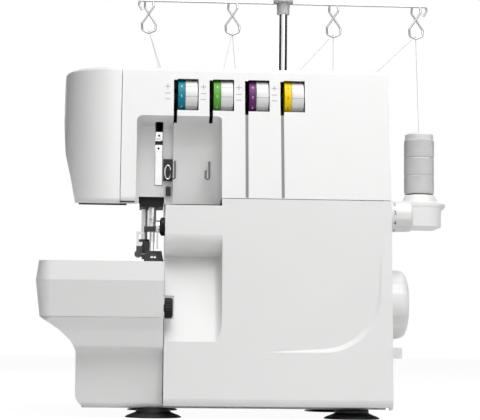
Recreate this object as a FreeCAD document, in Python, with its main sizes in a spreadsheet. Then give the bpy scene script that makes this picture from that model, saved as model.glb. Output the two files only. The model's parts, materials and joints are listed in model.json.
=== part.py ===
import FreeCAD, Part
import math
import os
import re
import Sketcher

doc = FreeCAD.newDocument("overlock_machine")
sheet = doc.addObject("Spreadsheet::Sheet", "Sizes")
SIZES = (
    ("half_width", 181.5, "tray's left side and last spool disc from the middle"),
    ("tray_proud", 12, "work table's front before the foot of the body"),
    ("wall", 2.5, "thickness of the moulded covers"),
    ("seam", 0.5, "open joint between two covers"),
    ("run_fit", 0.05, "radial clearance of a turning or sliding fit"),
    ("body_right", 100, "right side of the body"),
    ("body_left", -81, "left side of the column"),
    ("body_back", 68, "back of the body"),
    ("body_low", 7.5, "underside of the body"),
    ("front_low", -118, "front face at the bottom"),
    ("front_mid", -106, "front face at the seam under the head"),
    ("front_top", -83, "front face at the top of the head"),
    ("seam_z", 174.5, "seam between front cover and head"),
    ("head_low", 168.5, "underside of the head's overhang"),
    ("under_rise", 17, "rise of the overhang's underside to the back"),
    ("head_top", 283, "top of the head"),
    ("face_seam", -117, "joint between head cover and face cover"),
    ("face_out", 48.6, "face cover's bulge from the joint"),
    ("face_round", 44, "front corner of the face cover"),
    ("head_crown", 4, "rounding of the head's top front edge"),
    ("split_y", 12, "joint between head cover and rear cover"),
    ("hinge_y", -110, "front cover's hinge axis"),
    ("hinge_z", 15.5, "front cover's hinge axis"),
    ("rod_rad", 2, "front cover's hinge rod"),
    ("cover_slide", 8, "front cover's way to the right"),
    ("scoop_right", -35.5, "right side of the finger scoop"),
    ("scoop_flush", 135, "edge over which the cover rolls under"),
    ("scoop_z", 128, "crease of the scoop"),
    ("scoop_out", 60, "where the scoop runs out"),
    ("scoop_depth", 22, "depth of the scoop at its crease"),
    ("scoop_cove", 6, "cove along the right side of the scoop"),
    ("scoop_roll", 14, "roll of the cover into the scoop"),
    ("step_left", -2, "left end of the sunk field"),
    ("step_right", 91.3, "right side of the sunk field"),
    ("step_low", 52.3, "lower side of the sunk field"),
    ("step_high", 134, "upper end of the sunk field"),
    ("step_round", 46, "lower right corner of the sunk field"),
    ("step_deep", 2.6, "depth of the sunk field at that corner"),
    ("step_run", 6.6, "width of the sunk field's sloped side at that depth"),
    ("recess_left", -104.8, "left side of the threading recess"),
    ("recess_mid", -75, "step between the two recesses"),
    ("recess_right", -36.2, "right side of the second recess"),
    ("recess_top", 242, "front edge of the recess ceiling"),
    ("recess_drop", 6, "fall of the ceiling to the back"),
    ("recess_wall_y", -68, "back wall of the first recess"),
    ("recess_step", 5, "second recess before the first"),
    ("recess_cove", 24, "cove between ceiling and back wall of the second recess"),
    ("recess_low", 172, "lower edge of the second recess"),
    ("slot_first", -73.9, "first tension slot"),
    ("slot_pitch", 28.9, "step between tension slots"),
    ("slot_wide", 2.9, "width of a tension slot"),
    ("slot_low", 236, "lower end of a tension slot"),
    ("slot_high", 272.5, "upper end of a tension slot"),
    ("dial_rad", 16.5, "tension dial"),
    ("dial_wide", 16, "tension dial"),
    ("dial_y", -72.5, "tension dial axis"),
    ("dial_z", 258.5, "tension dial axis"),
    ("post_rad", 3, "tension post"),
    ("window_low", 246.8, "lower edge of a dial window"),
    ("window_high", 26.6, "dial window"),
    ("bed_z", 122, "sewing surface"),
    ("tray_right", -81.6, "right side of the work table"),
    ("tray_low", 78.6, "underside of the work table"),
    ("tray_round", 12, "front corner of the work table"),
    ("tray_bevel", 15, "height of the band along the work table's front"),
    ("tray_lean", 2.2, "lean of the band along the work table's front"),
    ("tray_draft", 3.4, "draft of the work table's front below the band"),
    ("base_set", 13, "lower body cover's front behind the front cover"),
    ("base_left", -150, "left side of the lower body"),
    ("needle_y", -55, "needle line"),
    ("needle_x", -91.2, "middle between the two needles"),
    ("needle_gap", 2.6, "distance between the needles"),
    ("bar_rad", 3.2, "needle bar"),
    ("presser_rad", 2.6, "presser bar"),
    ("presser_y", -38, "presser bar"),
    ("presser_x", -97.6, "presser bar"),
    ("foot_lift", 5, "lift of the presser foot"),
    ("needle_stroke", 20, "stroke of the needle bar"),
    ("shaft_y", -18, "main shaft and handwheel axis"),
    ("shaft_z", 93.8, "main shaft and handwheel axis"),
    ("shaft_rad", 5, "main shaft"),
    ("wheel_rad", 30, "handwheel"),
    ("wheel_out", 125.5, "outer face of the handwheel"),
    ("pulley_rad", 24, "belt wheel on the main shaft"),
    ("motor_y", 34, "motor axis"),
    ("motor_z", 45, "motor axis"),
    ("motor_rad", 21, "motor"),
    ("motor_pulley_rad", 6, "motor pulley"),
    ("belt_wide", 6, "drive belt"),
    ("belt_thick", 2, "drive belt"),
    ("length_dial_y", -38, "stitch length dial axis"),
    ("length_dial_z", 167.3, "stitch length dial axis"),
    ("length_skirt_rad", 14, "numbered skirt of the stitch length dial"),
    ("length_knob_rad", 13.2, "knob of the stitch length dial"),
    ("width_dial_y", -121, "cutting width dial axis"),
    ("width_dial_z", 86, "cutting width dial axis"),
    ("width_dial_rad", 8, "cutting width dial"),
    ("width_pin_rad", 2, "pin of the cutting width dial"),
    ("switch_y", -66, "power switch"),
    ("switch_z", 52.7, "power switch"),
    ("feet_front", -94, "front feet"),
    ("feet_back", 62, "back feet"),
    ("feet_left", -88.4, "left feet"),
    ("feet_right", 70, "right feet"),
    ("foot_rad", 22.4, "suction foot"),
    ("foot_neck", 13.8, "neck of a suction foot"),
    ("stand_front", 69, "front of the spool stand"),
    ("stand_deep", 61, "depth of the spool stand"),
    ("stand_low", 168.5, "underside of the spool stand"),
    ("stand_top", 185.4, "top of the spool stand"),
    ("stand_left", -80, "left end of the spool stand"),
    ("stand_right", 175.5, "right end of the spool stand"),
    ("stand_round", 18, "front corner at the right end of the spool stand"),
    ("spool_y", 100, "line of the spools and the mast"),
    ("mast_x", 29, "telescopic mast"),
    ("spool_first", -66, "leftmost spool"),
    ("spool_second", -10, "second spool from the left"),
    ("spool_inner", 47.5, "inner thread eyes from the mast"),
    ("spool_outer", 125.5, "outer thread eyes from the mast"),
    ("disc_rad", 24, "rim of a spool disc"),
    ("disc_top", 198.8, "top of a spool disc"),
    ("thread_rad", 14, "wound thread"),
    ("thread_top", 250.8, "top of the winding"),
    ("core_top", 257, "top of the spool core"),
    ("core_rad", 8, "spool core"),
    ("core_bore", 4.5, "bore of the spool core"),
    ("pin_rad", 3, "spool pin"),
    ("mast_rad", 4, "upper mast tube"),
    ("mast_low_rad", 5.5, "lower mast tube"),
    ("mast_travel", 40, "way of the mast downward"),
    ("tree_drop", 4.2, "wire bar of the thread tree below the top of the cap"),
    ("wire_rad", 1, "wire of the thread tree"),
    ("cap_top", 382, "top of the mast cap"),
    ("tray_back", 40, "back of the work table"),
    ("knife_y", -79, "upper knife's axis"),
    ("knife_z", 152.8, "upper knife's axis"),
    ("rocker_y", -5, "rocker shaft in the head"),
    ("rocker_z", 222, "rocker shaft in the head"),
    ("rocker_rad", 4, "rocker shaft in the head"),
    ("lifter_z", 212, "presser lifter's axis"),
    ("lifter_rad", 4, "presser lifter's shaft"),
    ("crank_throw", 3.5, "offset of the crank on the main shaft"),
    ("crank_rad", 8, "crank on the main shaft"),
    ("web_front", 24, "front of the frame's web"),
    ("web_back", 32, "back of the frame's web"),
    ("looper_rad", 3, "looper pivots"),
    ("screw_rad", 1.8, "cover screws"),
    ("thread_line", 0.25, "sewing thread, radius"),
    ("guide_z", 288.5, "eye of a thread guide on the head"),
    ("guide_y", -4, "thread guides on the head"),
)
ALIASES = {alias for alias, value, note in SIZES}
for row, (alias, value, note) in enumerate(SIZES, start=1):
    sheet.set("A%d" % row, note)
    sheet.set("B%d" % row, str(value))
    sheet.setAlias("B%d" % row, alias)
doc.recompute()
PIECES = {}


def formula(text):
    """A size formula with every alias written as a cell of the sheet."""
    def cell(match):
        word = match.group(0)
        return "Sizes." + word if word in ALIASES else word
    return re.sub(r"[a-z][a-z_0-9]*", cell, str(text))


def number(text):
    """Present value of a size formula in millimetres."""
    return float(sheet.evalExpression(formula(text)))


def bind(item, **formulas):
    """Ties properties of an object to size formulas."""
    for name, text in formulas.items():
        item.setExpression(name.replace("__", "."), formula(text))
    return item


def place(item, x="0", y="0", z="0"):
    """Puts an object at a point given by formulas."""
    return bind(item, Placement__Base__x=x, Placement__Base__y=y, Placement__Base__z=z)


def box(name, x, y, z):
    """A block between two formulas on each axis."""
    item = doc.addObject("Part::Box", name)
    bind(item, Length="(%s) - (%s)" % (x[1], x[0]), Width="(%s) - (%s)" % (y[1], y[0]),
         Height="(%s) - (%s)" % (z[1], z[0]))
    return place(item, x[0], y[0], z[0])


TURNS = {"x": FreeCAD.Rotation(FreeCAD.Vector(0, 1, 0), 90),
         "y": FreeCAD.Rotation(FreeCAD.Vector(1, 0, 0), -90),
         "z": FreeCAD.Rotation()}


def rod(name, axis, at, span, radius):
    """A cylinder along one axis through a point, between two formulas."""
    item = doc.addObject("Part::Cylinder", name)
    bind(item, Radius=radius, Height="(%s) - (%s)" % (span[1], span[0]))
    item.Placement = FreeCAD.Placement(FreeCAD.Vector(), TURNS[axis])
    spot = {"x": (span[0], at[0], at[1]), "y": (at[0], span[0], at[1]), "z": (at[0], at[1], span[0])}
    return place(item, *spot[axis])


def cone(name, axis, at, span, radii):
    """A cone along one axis through a point, between two formulas."""
    item = doc.addObject("Part::Cone", name)
    bind(item, Radius1=radii[0], Radius2=radii[1], Height="(%s) - (%s)" % (span[1], span[0]))
    item.Placement = FreeCAD.Placement(FreeCAD.Vector(), TURNS[axis])
    spot = {"x": (span[0], at[0], at[1]), "y": (at[0], span[0], at[1]), "z": (at[0], at[1], span[0])}
    return place(item, *spot[axis])


def fuse(name, *items):
    """One piece grown together from several."""
    item = doc.addObject("Part::MultiFuse", name)
    item.Shapes = list(items)
    item.Refine = True
    return item


def group(name, *items):
    """Separate equal pieces kept in one node."""
    item = doc.addObject("Part::Compound", name)
    item.Links = list(items)
    return item


def cut(name, base, *tools):
    """A piece with other shapes taken away."""
    item = doc.addObject("Part::Cut", name)
    item.Base = base
    item.Tool = tools[0] if len(tools) == 1 else group(name + "_tools", *tools)
    item.Refine = True
    return item


def common(name, first, second):
    """What two shapes share."""
    item = doc.addObject("Part::Common", name)
    item.Base = first
    item.Tool = second
    item.Refine = True
    return item


def sketch(body, plane, outline):
    """A closed polygon on one of the body's own planes, each corner tied to formulas."""
    item = body.newObject("Sketcher::SketchObject", body.Name + "_outline")
    origin = [p for p in body.Origin.OriginFeatures if p.Name.startswith(plane + "_Plane")][0]
    item.AttachmentSupport = (origin, [""])
    item.MapMode = "FlatFace"
    spots = [FreeCAD.Vector(number(a), number(b), 0) for a, b in outline]
    count = len(spots)
    for i in range(count):
        item.addGeometry(Part.LineSegment(spots[i], spots[(i + 1) % count]), False)
    for i in range(count):
        item.addConstraint(Sketcher.Constraint("Coincident", i, 2, (i + 1) % count, 1))
    for i, (a, b) in enumerate(outline):
        for kind, text, value in (("DistanceX", a, spots[i].x), ("DistanceY", b, spots[i].y)):
            index = item.addConstraint(Sketcher.Constraint(kind, -1, 1, i, 1, value))
            item.setExpression("Constraints[%d]" % index, formula(text))
    return item


def prism(name, plane, outline, span, rounds=(), lean=None):
    """A padded polygon between two formulas along the plane's normal, with rounded corners.

    rounds holds pairs of a radius and the corner numbers that get it; lean is the drift to the back
    for each unit of height."""
    body = doc.addObject("PartDesign::Body", name)
    outline_sketch = sketch(body, plane, outline)
    start = "-(%s)" % span[1] if plane == "XZ" else span[0]
    outline_sketch.setExpression("AttachmentOffset.Base.z", formula(start))
    pad = body.newObject("PartDesign::Pad", name + "_pad")
    pad.Profile = outline_sketch
    bind(pad, Length="(%s) - (%s)" % (span[1], span[0]))
    if lean:
        pad.UseCustomVector = True
        pad.Direction = FreeCAD.Vector(0, number(lean), 1)
        pad.AlongSketchNormal = True
    doc.recompute()
    last = pad
    for order, (radius, corners) in enumerate(rounds):
        edges = corner_edges(last, plane, [outline[c] for c in corners])
        last = body.newObject("PartDesign::Fillet", "%s_round%d" % (name, order))
        last.Base = (body.Group[-2], edges)
        bind(last, Radius=radius)
        doc.recompute()
    return body


def corner_edges(feature, plane, corners):
    """Names of the long edges that stand on the given outline corners."""
    along = {"XZ": 1, "YZ": 0, "XY": 2}[plane]
    flat = [axis for axis in range(3) if axis != along]
    wanted = [(number(a), number(b)) for a, b in corners]
    names = []
    for order, edge in enumerate(feature.Shape.Edges, start=1):
        ends = [vertex.Point for vertex in edge.Vertexes]
        if len(ends) != 2 or abs(ends[0][along] - ends[1][along]) < 0.5:
            continue
        for a, b in wanted:
            if all(math.hypot(end[flat[0]] - a, end[flat[1]] - b) < 0.01 for end in ends):
                names.append("Edge%d" % order)
    return names


def turned(name, axis, profile, at):
    """A revolved profile of (along, radius) corners round an axis through a point."""
    body = doc.addObject("PartDesign::Body", name)
    along_x = axis == "x"
    outline = profile if along_x else [(radius, along) for along, radius in profile]
    outline_sketch = sketch(body, "XZ", outline)
    turn = body.newObject("PartDesign::Revolution", name + "_turn")
    turn.Profile = outline_sketch
    turn.ReferenceAxis = (outline_sketch, ["H_Axis" if along_x else "V_Axis"])
    turn.Angle = 360
    doc.recompute()
    if along_x:
        return place(body, "0", at[0], at[1])
    return place(body, at[0], at[1], "0")


def chosen_edges(base, chosen):
    """Numbers of the edges for which chosen(middle, direction, length) holds."""
    doc.recompute()
    found = []
    for order, edge in enumerate(base.Shape.Edges, start=1):
        middle = edge.valueAt((edge.FirstParameter + edge.LastParameter) / 2)
        way = edge.tangentAt((edge.FirstParameter + edge.LastParameter) / 2)
        if chosen(middle, way, edge.Length):
            found.append(order)
    return found


def soften(name, base, radius, chosen):
    """Rounds the chosen edges of a piece."""
    item = doc.addObject("Part::Fillet", name)
    item.Base = base
    item.Edges = [(order, number(radius), number(radius)) for order in chosen_edges(base, chosen)]
    return item


def bevel(name, base, down, inward, chosen):
    """Bevels the chosen edges of a piece, by different distances on the two faces that meet there."""
    item = doc.addObject("Part::Chamfer", name)
    item.Base = base
    item.Edges = [(order, number(down), number(inward)) for order in chosen_edges(base, chosen)]
    return item


def wire_piece(name, spots, radius, bend):
    """A bent wire: a round bar along straight runs joined by bends."""
    path = Part.makePolygon([FreeCAD.Vector(*spot) for spot in spots])
    edges = path.Edges
    curve = Part.Wire(rounded_path(edges, bend))
    start = curve.Edges[0]
    spot = start.valueAt(start.FirstParameter)
    way = start.tangentAt(start.FirstParameter)
    ring = Part.Wire(Part.makeCircle(radius, spot, way))
    item = doc.addObject("Part::Feature", name)
    item.Shape = curve.makePipeShell([ring], True, False)
    return item


def rounded_path(edges, bend):
    """Straight runs with a circular arc in place of every corner."""
    spots = [edge.Vertexes[0].Point for edge in edges] + [edges[-1].Vertexes[1].Point]
    runs = []
    last = spots[0]
    for before, corner, after in zip(spots, spots[1:], spots[2:]):
        into = (corner - before).normalize()
        away = (after - corner).normalize()
        half = into.getAngle(away) / 2
        reach = bend * math.tan(half)
        first = corner - into * reach
        second = corner + away * reach
        middle = corner + (away - into).normalize() * (bend / math.cos(half) - bend)
        runs.append(Part.makeLine(last, first))
        runs.append(Part.Arc(first, middle, second).toShape())
        last = second
    runs.append(Part.makeLine(last, spots[-1]))
    return runs


def piece(name, item):
    """Marks an object as one finished node of the machine."""
    PIECES[name] = item
    return item


def slot_x(order):
    """Middle of one tension slot."""
    return "slot_first + %d*slot_pitch" % order


EYES = ("mast_x - spool_outer", "mast_x - spool_inner", "mast_x + spool_inner", "mast_x + spool_outer")
TREE_Z = "(cap_top - tree_drop)"
SPOOLS = ("spool_first", "spool_second", "mast_x + spool_inner", "half_width - disc_rad")


def front_at(height):
    """Front face of the head at a height, as a formula."""
    return "front_mid + (front_top - front_mid)*((%s) - seam_z)/(head_top - seam_z)" % height


def low_front_at(height):
    """Front face of the lower body at a height, as a formula."""
    return "front_low + (front_mid - front_low)*((%s) - hinge_z)/(seam_z - hinge_z)" % height


def feet():
    """Four black suction feet, each a flared cup under a neck."""
    cups = []
    for side in ("feet_left", "feet_right"):
        for row in ("feet_front", "feet_back"):
            profile = [("0", "0"), ("0", "foot_rad"), ("1.6", "foot_rad"), ("3.6", "foot_neck"),
                       ("body_low", "foot_neck"), ("body_low", "0")]
            cups.append(turned("foot_%s_%s" % (side[5:], row[5:]), "z", profile, (side, row)))
    piece("rubber_feet", group("rubber_feet", *cups))


def base():
    """Steel bottom pan with the lugs that carry the front cover's hinge rod."""
    plate = box("pan_plate", ("base_left + 5", "body_right - wall - 0.5"), ("-97", "body_back - wall - 0.5"),
                ("body_low", "body_low + 3"))
    lugs = []
    holes = []
    for order, x in enumerate(("body_left + 12", "body_right - 24")):
        block = box("pan_lug%d" % order, (x, x + " + 5"), ("hinge_y", "-95"), ("body_low", "hinge_z + 4.5"))
        nose = rod("pan_nose%d" % order, "x", ("hinge_y", "hinge_z"), (x, x + " + 5"), "4.5")
        low = box("pan_low%d" % order, (x + " - 1", x + " + 6"), ("-130", "-97"), ("0", "hinge_z - 4.5"))
        lugs.append(cut("pan_lug_trim%d" % order, fuse("pan_lug_blank%d" % order, block, nose), low))
        holes.append(rod("pan_hole%d" % order, "x", ("hinge_y", "hinge_z"), (x + " - 1", x + " + 6"),
                         "rod_rad + run_fit"))
    piece("base_pan", cut("base_pan", fuse("pan_blank", plate, *lugs), *holes))
    piece("cover_hinge_rod", rod("cover_hinge_rod", "x", ("hinge_y", "hinge_z"),
                                 ("body_left + 4", "body_right - wall - 1"), "rod_rad"))


def front_cover():
    """Looper cover: a hollow moulding with a finger scoop, a curved step and two hinge knuckles."""
    def profile(inset):
        return [("%s + %s" % (low_front_at("hinge_z"), inset), "hinge_z"),
                ("%s + %s" % (low_front_at("seam_z - seam"), inset), "seam_z - seam"),
                ("-60", "seam_z - seam"), ("-60", "body_low"), ("front_low + %s" % inset, "body_low")]
    shell = prism("cover_shell", "YZ", profile("0"), ("body_left", "body_right"),
                  [("hinge_z - body_low - 0.01", [4])])
    inner = prism("cover_inner", "YZ",
                  [("front_low + wall", "body_low - 1"), ("front_low + wall", "hinge_z"),
                   ("%s + wall" % low_front_at("seam_z"), "seam_z + 1"), ("-59", "seam_z + 1"),
                   ("-59", "body_low - 1")], ("body_left - 1", "body_right - wall"))
    under = box("cover_under", ("body_left - 1", "body_right + 1"), ("hinge_y", "-59"), ("0", "hinge_z + 3"))
    liner = scoop_tool("cover_liner", "wall + 1.5", "scoop_right + wall")
    cavity = cut("cover_cavity", inner, liner)
    hollow = cut("cover_hollow", shell, cavity, under)
    top = box("cover_top", ("body_left - 1", "recess_right + 0.2"), ("-130", "-50"),
              ("seam_z - 6.2", "seam_z + 1"))
    notch = box("cover_notch", ("body_left - 1", "body_left + 7.8"), ("-140", "-50"),
                ("width_dial_z - 8.2", "width_dial_z + 10.2"))
    knuckles = []
    holes = []
    for order, x in enumerate(("body_left + 30", "body_right - 44")):
        nose = rod("cover_nose%d" % order, "x", ("hinge_y", "hinge_z"), (x, x + " + 7"), "4.5")
        block = box("cover_web%d" % order, (x, x + " + 7"), ("front_low + 1.5", "hinge_y"),
                    ("hinge_z - 4.5", "hinge_z + 4.5"))
        knuckles += [nose, block]
        holes.append(rod("cover_bore%d" % order, "x", ("hinge_y", "hinge_z"), (x + " - 1", x + " + 8"),
                         "rod_rad + run_fit"))
    end = prism("cover_end", "YZ", [(low_front_at("hinge_z + 5") + " + 1", "hinge_z + 5"),
                                    (low_front_at("tray_low - 24") + " + 1", "tray_low - 24"),
                                    ("front_low + base_set + 1", "tray_low - 24"),
                                    ("front_low + base_set + 1", "hinge_z + 5")],
                ("body_left", "body_left + wall"))
    scooped = cut("cover_scooped", hollow, scoop_room(), top, step_room())
    body = fuse("cover_body", cut("cover_notched", scooped, notch), end, *knuckles)
    sweep = rod("cover_sweep", "x", ("hinge_y", "hinge_z"), ("body_left - 5", "body_right + 5"),
                "seam_z - seam - hinge_z + 0.15")
    piece("front_cover", cut("front_cover", common("cover_swept", body, sweep), *holes))


def scoop_tool(name, wall, right, rounds=()):
    """The wedge-shaped room of the finger scoop, grown by a wall on its closed sides."""
    deep = "%s + scoop_depth + %s" % (low_front_at("scoop_z"), wall)
    top = "scoop_flush + 14"
    outline = [("front_low - 12", "%s + 2*(%s)" % (top, wall)),
               ("%s - 0.05 + %s" % (low_front_at(top), wall), "%s + %s" % (top, wall)),
               ("%s - 0.05 + %s" % (low_front_at("scoop_flush"), wall), "scoop_flush + %s" % wall),
               (deep, "scoop_z + %s" % wall),
               ("%s + 1.4*(%s)" % (low_front_at("scoop_out"), wall), "scoop_out - %s" % wall),
               ("front_low - 12", "scoop_out - 6 - %s" % wall)]
    return prism(name, "YZ", outline, ("body_left - 2", right), rounds)


def scoop_room():
    """Finger scoop: the cover rolls into it at the top, and its right side is coved."""
    blank = scoop_tool("scoop_blank", "0", "scoop_right", [("scoop_roll", [2])])
    side = number("scoop_right")
    return soften("cover_scoop", blank, "scoop_cove",
                  lambda m, w, l: abs(m.x - side) < 0.1 and m.y > number(low_front_at(m.z)) - 0.5
                  and m.z < number("scoop_z") - 1)


def step_room():
    """Shallow sunk field with sloped sides and a rounded lower right corner, running out to the left and
    upward. It is lofted between its outlines before the cover's face and at full depth."""
    left, right, deep = number("step_left"), number("step_right"), number("step_deep")
    foot = FreeCAD.Vector(0, number(low_front_at("step_low")), number("step_low"))
    rise = FreeCAD.Vector(0, number(low_front_at("step_high")), number("step_high")) - foot
    height = rise.Length
    up = rise.normalize()
    inward = FreeCAD.Vector(0, up.z, -up.y)

    def spot(x, level, depth):
        return foot + FreeCAD.Vector(x, 0, 0) + up * level + inward * depth

    def outline(depth):
        inset = number("step_run") * depth / deep
        bend = number("step_round") - inset
        short = bend * (1 - math.sqrt(0.5))
        corners = [spot(right - inset, inset + bend, depth), spot(right - inset, height, depth),
                   spot(left, height, depth), spot(left, inset, depth),
                   spot(right - inset - bend, inset, depth)]
        middle = spot(right - inset - short, inset + short, depth)
        return Part.Wire([Part.makeLine(*ends) for ends in zip(corners, corners[1:])]
                         + [Part.Arc(corners[-1], middle, corners[0]).toShape()])
    field = doc.addObject("Part::Feature", "step_field")
    field.Shape = Part.makeLoft([outline(-deep), outline(deep)], True, True)
    lowest = spot(right, 0, deep)
    out = (spot(left, 0, 0) - lowest).cross(spot(right, height, 0) - lowest).normalize()
    if out.y > 0:
        out = out * -1
    slab = doc.addObject("Part::Box", "step_slab")
    slab.Length, slab.Width, slab.Height = 600, 600, 30
    turn = FreeCAD.Rotation(FreeCAD.Vector(0, 0, 1), out)
    slab.Placement = FreeCAD.Placement(lowest - turn.multVec(FreeCAD.Vector(300, 300, 0)), turn)
    return common("step_room", field, slab)


def head_profile(inset, low):
    """Side outline of the head between front face and back."""
    return [("%s + %s" % (front_at("head_low"), inset), low),
            ("front_top + %s" % inset, "head_top - %s" % inset),
            ("body_back - %s" % inset, "head_top - %s" % inset),
            ("body_back - %s" % inset, low)]


def under_head(name, lift, right):
    """Room below the overhang, whose underside rises to the back."""
    front = front_at("head_low")
    return prism(name, "YZ", [(front, "head_low - 6"), (front, "head_low + %s" % lift),
                              ("body_back + 1", "head_low + under_rise + %s" % lift),
                              ("body_back + 1", "head_low - 6")], ("-200", right))


def head_covers():
    """Head cover with the threading recesses, slots and dial windows, and the rear cover."""
    blank = prism("head_blank", "YZ", head_profile("0", "head_low"), ("face_seam", "body_right"),
                  [("head_crown", [1]), ("10", [2]), ("5", [0])])
    inner = prism("head_inner", "YZ", head_profile("wall", "head_low + wall"),
                  ("face_seam - 1", "body_right - wall"), [("head_crown - 1.5", [1]), ("7.5", [2])])
    floor_gap = box("head_floor", ("body_left + 2", "body_right - wall"), ("-98", "body_back - wall"),
                    ("head_low - 1", "head_low + wall + 1"))
    step = box("head_step", ("body_left", "body_right + 1"), ("-140", "body_back + 1"),
               ("head_low - 1", "recess_low"))
    step_right = box("head_step2", ("recess_right", "body_right + 1"), ("-140", "body_back + 1"),
                     ("head_low - 1", "seam_z"))
    recesses = [soften("recess_one_soft", recess_tool("recess_one", "recess_left", "recess_mid", "0", "0"),
                       "4.5",
                       lambda m, w, l: abs(w.y) > 0.9 and m.z > number("recess_low") + 20
                       and abs(m.x - number("recess_left")) < 0.1 and m.y > -120),
                soften("recess_two_soft",
                       recess_tool("recess_two", "recess_mid - 0.1", "recess_right", "0", "recess_step",
                                   [("recess_cove", [3])]), "3.5",
                       lambda m, w, l: abs(w.x) < 0.1 and abs(m.x - number("recess_right")) < 0.1
                       and m.z > number("head_low") - 4 and m.y > -120)]
    liners = [recess_tool("recess_liner", "recess_left - wall", "recess_right + wall", "wall", "0")]
    cavity = cut("head_cavity", inner, under_head("head_under_in", "wall", "body_left + wall"), *liners)
    openings = []
    for order in range(4):
        x = slot_x(order)
        openings.append(box("slot%d" % order, (x + " - slot_wide/2", x + " + slot_wide/2"),
                            ("-125", "dial_y + 4"),
                            ("slot_low + %s" % (1.5 if order < 2 else 8), "slot_high")))
        openings.append(box("window%d" % order, (x + " + slot_wide/2 - 0.1", x + " + dial_wide + 2.6"),
                            ("-125", "dial_y"), ("window_low", "window_low + window_high")))
    for order in (2, 3):
        low, high = "seam_z + 0.5", "slot_low + 9"
        groove = [("%s - 6" % front_at(low), low), ("%s + 1.2" % front_at(low), low),
                  ("%s + 1.2" % front_at(high), high), ("%s - 6" % front_at(high), high)]
        openings.append(prism("groove%d" % order, "YZ", groove,
                              (slot_x(order) + " - 1.2", slot_x(order) + " + 1.2")))
    take_up = box("take_up_slot", ("needle_x + 1.3", "needle_x + 7.8"),
                  ("recess_wall_y - 10", "recess_wall_y + 5"), ("187", "recess_top - recess_drop + 4"))
    mouth = box("needle_mouth", ("presser_x - 5", "body_left - 0.8"), ("recess_wall_y - 4", "presser_y + 10"),
                ("head_low - 2", "head_low + 9.5"))
    mouth_in = box("needle_mouth_in", ("presser_x - 5", "body_left - 0.8"),
                   ("recess_wall_y + wall + 1", "presser_y + 10"), ("head_low - 2", "head_low + 14"))
    holes = screw_holes() + [rod("lifter_hole", "y", ("presser_x", "lifter_z"), ("40", "80"),
                                 "lifter_rad + 1")]
    whole = cut("head_whole", blank, cavity, floor_gap, step, step_right, take_up, mouth,
                mouth_in, under_head("head_under", "0", "body_left"), *(recesses + openings + holes))
    back_room = box("back_room", ("-300", "300"), ("split_y", "300"), ("0", "400"))
    front_room = box("front_room", ("-300", "300"), ("-300", "split_y + seam"), ("0", "400"))
    skirt = box("head_skirt", ("body_right - wall", "body_right"), ("front_mid + 13", "-60"),
                ("seam_z - 10", "seam_z + 1"))
    sweep = rod("head_sweep", "x", ("hinge_y", "hinge_z"), ("body_left", "body_right + 5"),
                "seam_z - hinge_z + 0.15")
    piece("head_cover",
          fuse("head_cover", cut("head_front", whole, back_room), cut("head_skirt_arc", skirt, sweep)))
    piece("rear_cover", cut("rear_cover", whole, front_room))


def recess_tool(name, left, right, wall, step, rounds=()):
    """The room of one threading recess, grown by a wall on its closed sides, its back wall a step forward."""
    back = "recess_wall_y + %s - %s" % (wall, step)
    outline = [("-140", "head_low - 5"), ("-140", "recess_top + %s" % wall),
               ("%s" % front_at("recess_top"), "recess_top + %s" % wall),
               (back, "recess_top - recess_drop + %s" % wall), (back, "head_low - 5")]
    return prism(name, "YZ", outline, (left, right), rounds)


def face_cover():
    """End cover over the needle bar, bulged to the left and drawn in at its foot."""
    def outline(inset):
        return [("face_seam - seam + (%s)*2" % inset, "head_low + %s" % inset),
                ("face_seam - face_out + 12.6 + %s" % inset, "head_low + %s" % inset),
                ("face_seam - face_out + 8.1 + %s" % inset, "head_low + 21.5"),
                ("face_seam - face_out + 2.8 + %s" % inset, "head_low + 43.5"),
                ("face_seam - face_out + %s" % inset, "head_low + 77.5"),
                ("face_seam - face_out + 0.9 + %s" % inset, "head_top - %s" % inset),
                ("face_seam - seam + (%s)*2" % inset, "head_top - %s" % inset)]

    def plan(name, inset, right):
        front, left = "%s + %s" % (front_at("head_low"), inset), "face_seam - face_out + %s" % inset
        blank = prism(name, "XY",
                      [(right, front), (left, front), (left, "body_back"), (right, "body_back")],
                      ("head_low", "head_top"),
                      lean="(front_top - (%s))/(head_top - head_low)" % front_at("head_low"))
        return soften(name + "_soft", blank, "face_round - (%s)" % inset,
                      lambda m, w, l: abs(m.x - number(left)) < 0.1 and m.y < 0 and abs(w.z) > 0.9)

    def crowned(name, base):
        top, low, right = number("head_top"), number("head_low"), number("face_seam - seam")
        return soften(name, base, "head_crown",
                      lambda m, w, l: (m.z > top - 0.1 or m.z < low + 0.1) and m.x < right - 0.1
                      and m.y < number("body_back") - 20)
    back = [("-140", "head_low"), ("-140", "head_top"), ("body_back", "head_top"), ("body_back", "head_low")]
    side = prism("face_side", "YZ", back, ("-170", "face_seam - seam"), [("10", [2])])
    end = prism("face_end", "XZ", outline("0"), ("-140", "body_back"),
                [("20", [2, 3, 4]), ("4", [5]), ("3", [1])])
    side_inner = prism("face_side_in", "YZ", head_profile("wall", "head_low + wall"),
                       ("-170", "face_seam + 9"), [("head_crown - 1.5", [1]), ("7.5", [2])])
    end_inner = prism("face_end_in", "XZ", outline("wall"), ("-140", "body_back"),
                      [("17.5", [2, 3, 4]), ("1.5", [5])])
    hollow = cut("face_hollow", common("face_inner", common("face_blank_in", side_inner, end_inner),
                                       plan("face_plan_in", "wall", "face_seam + 9")),
                 under_head("face_under_in", "wall", "face_seam + 9"))
    outer = common("face_outer", common("face_blank", side, end),
                   crowned("face_crowned", plan("face_plan", "0", "face_seam - seam")))
    piece("face_cover", cut("face_cover", outer, hollow, under_head("face_under", "0", "face_seam + 9")))


SWITCH_PIVOT = ("116", "-24")


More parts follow.
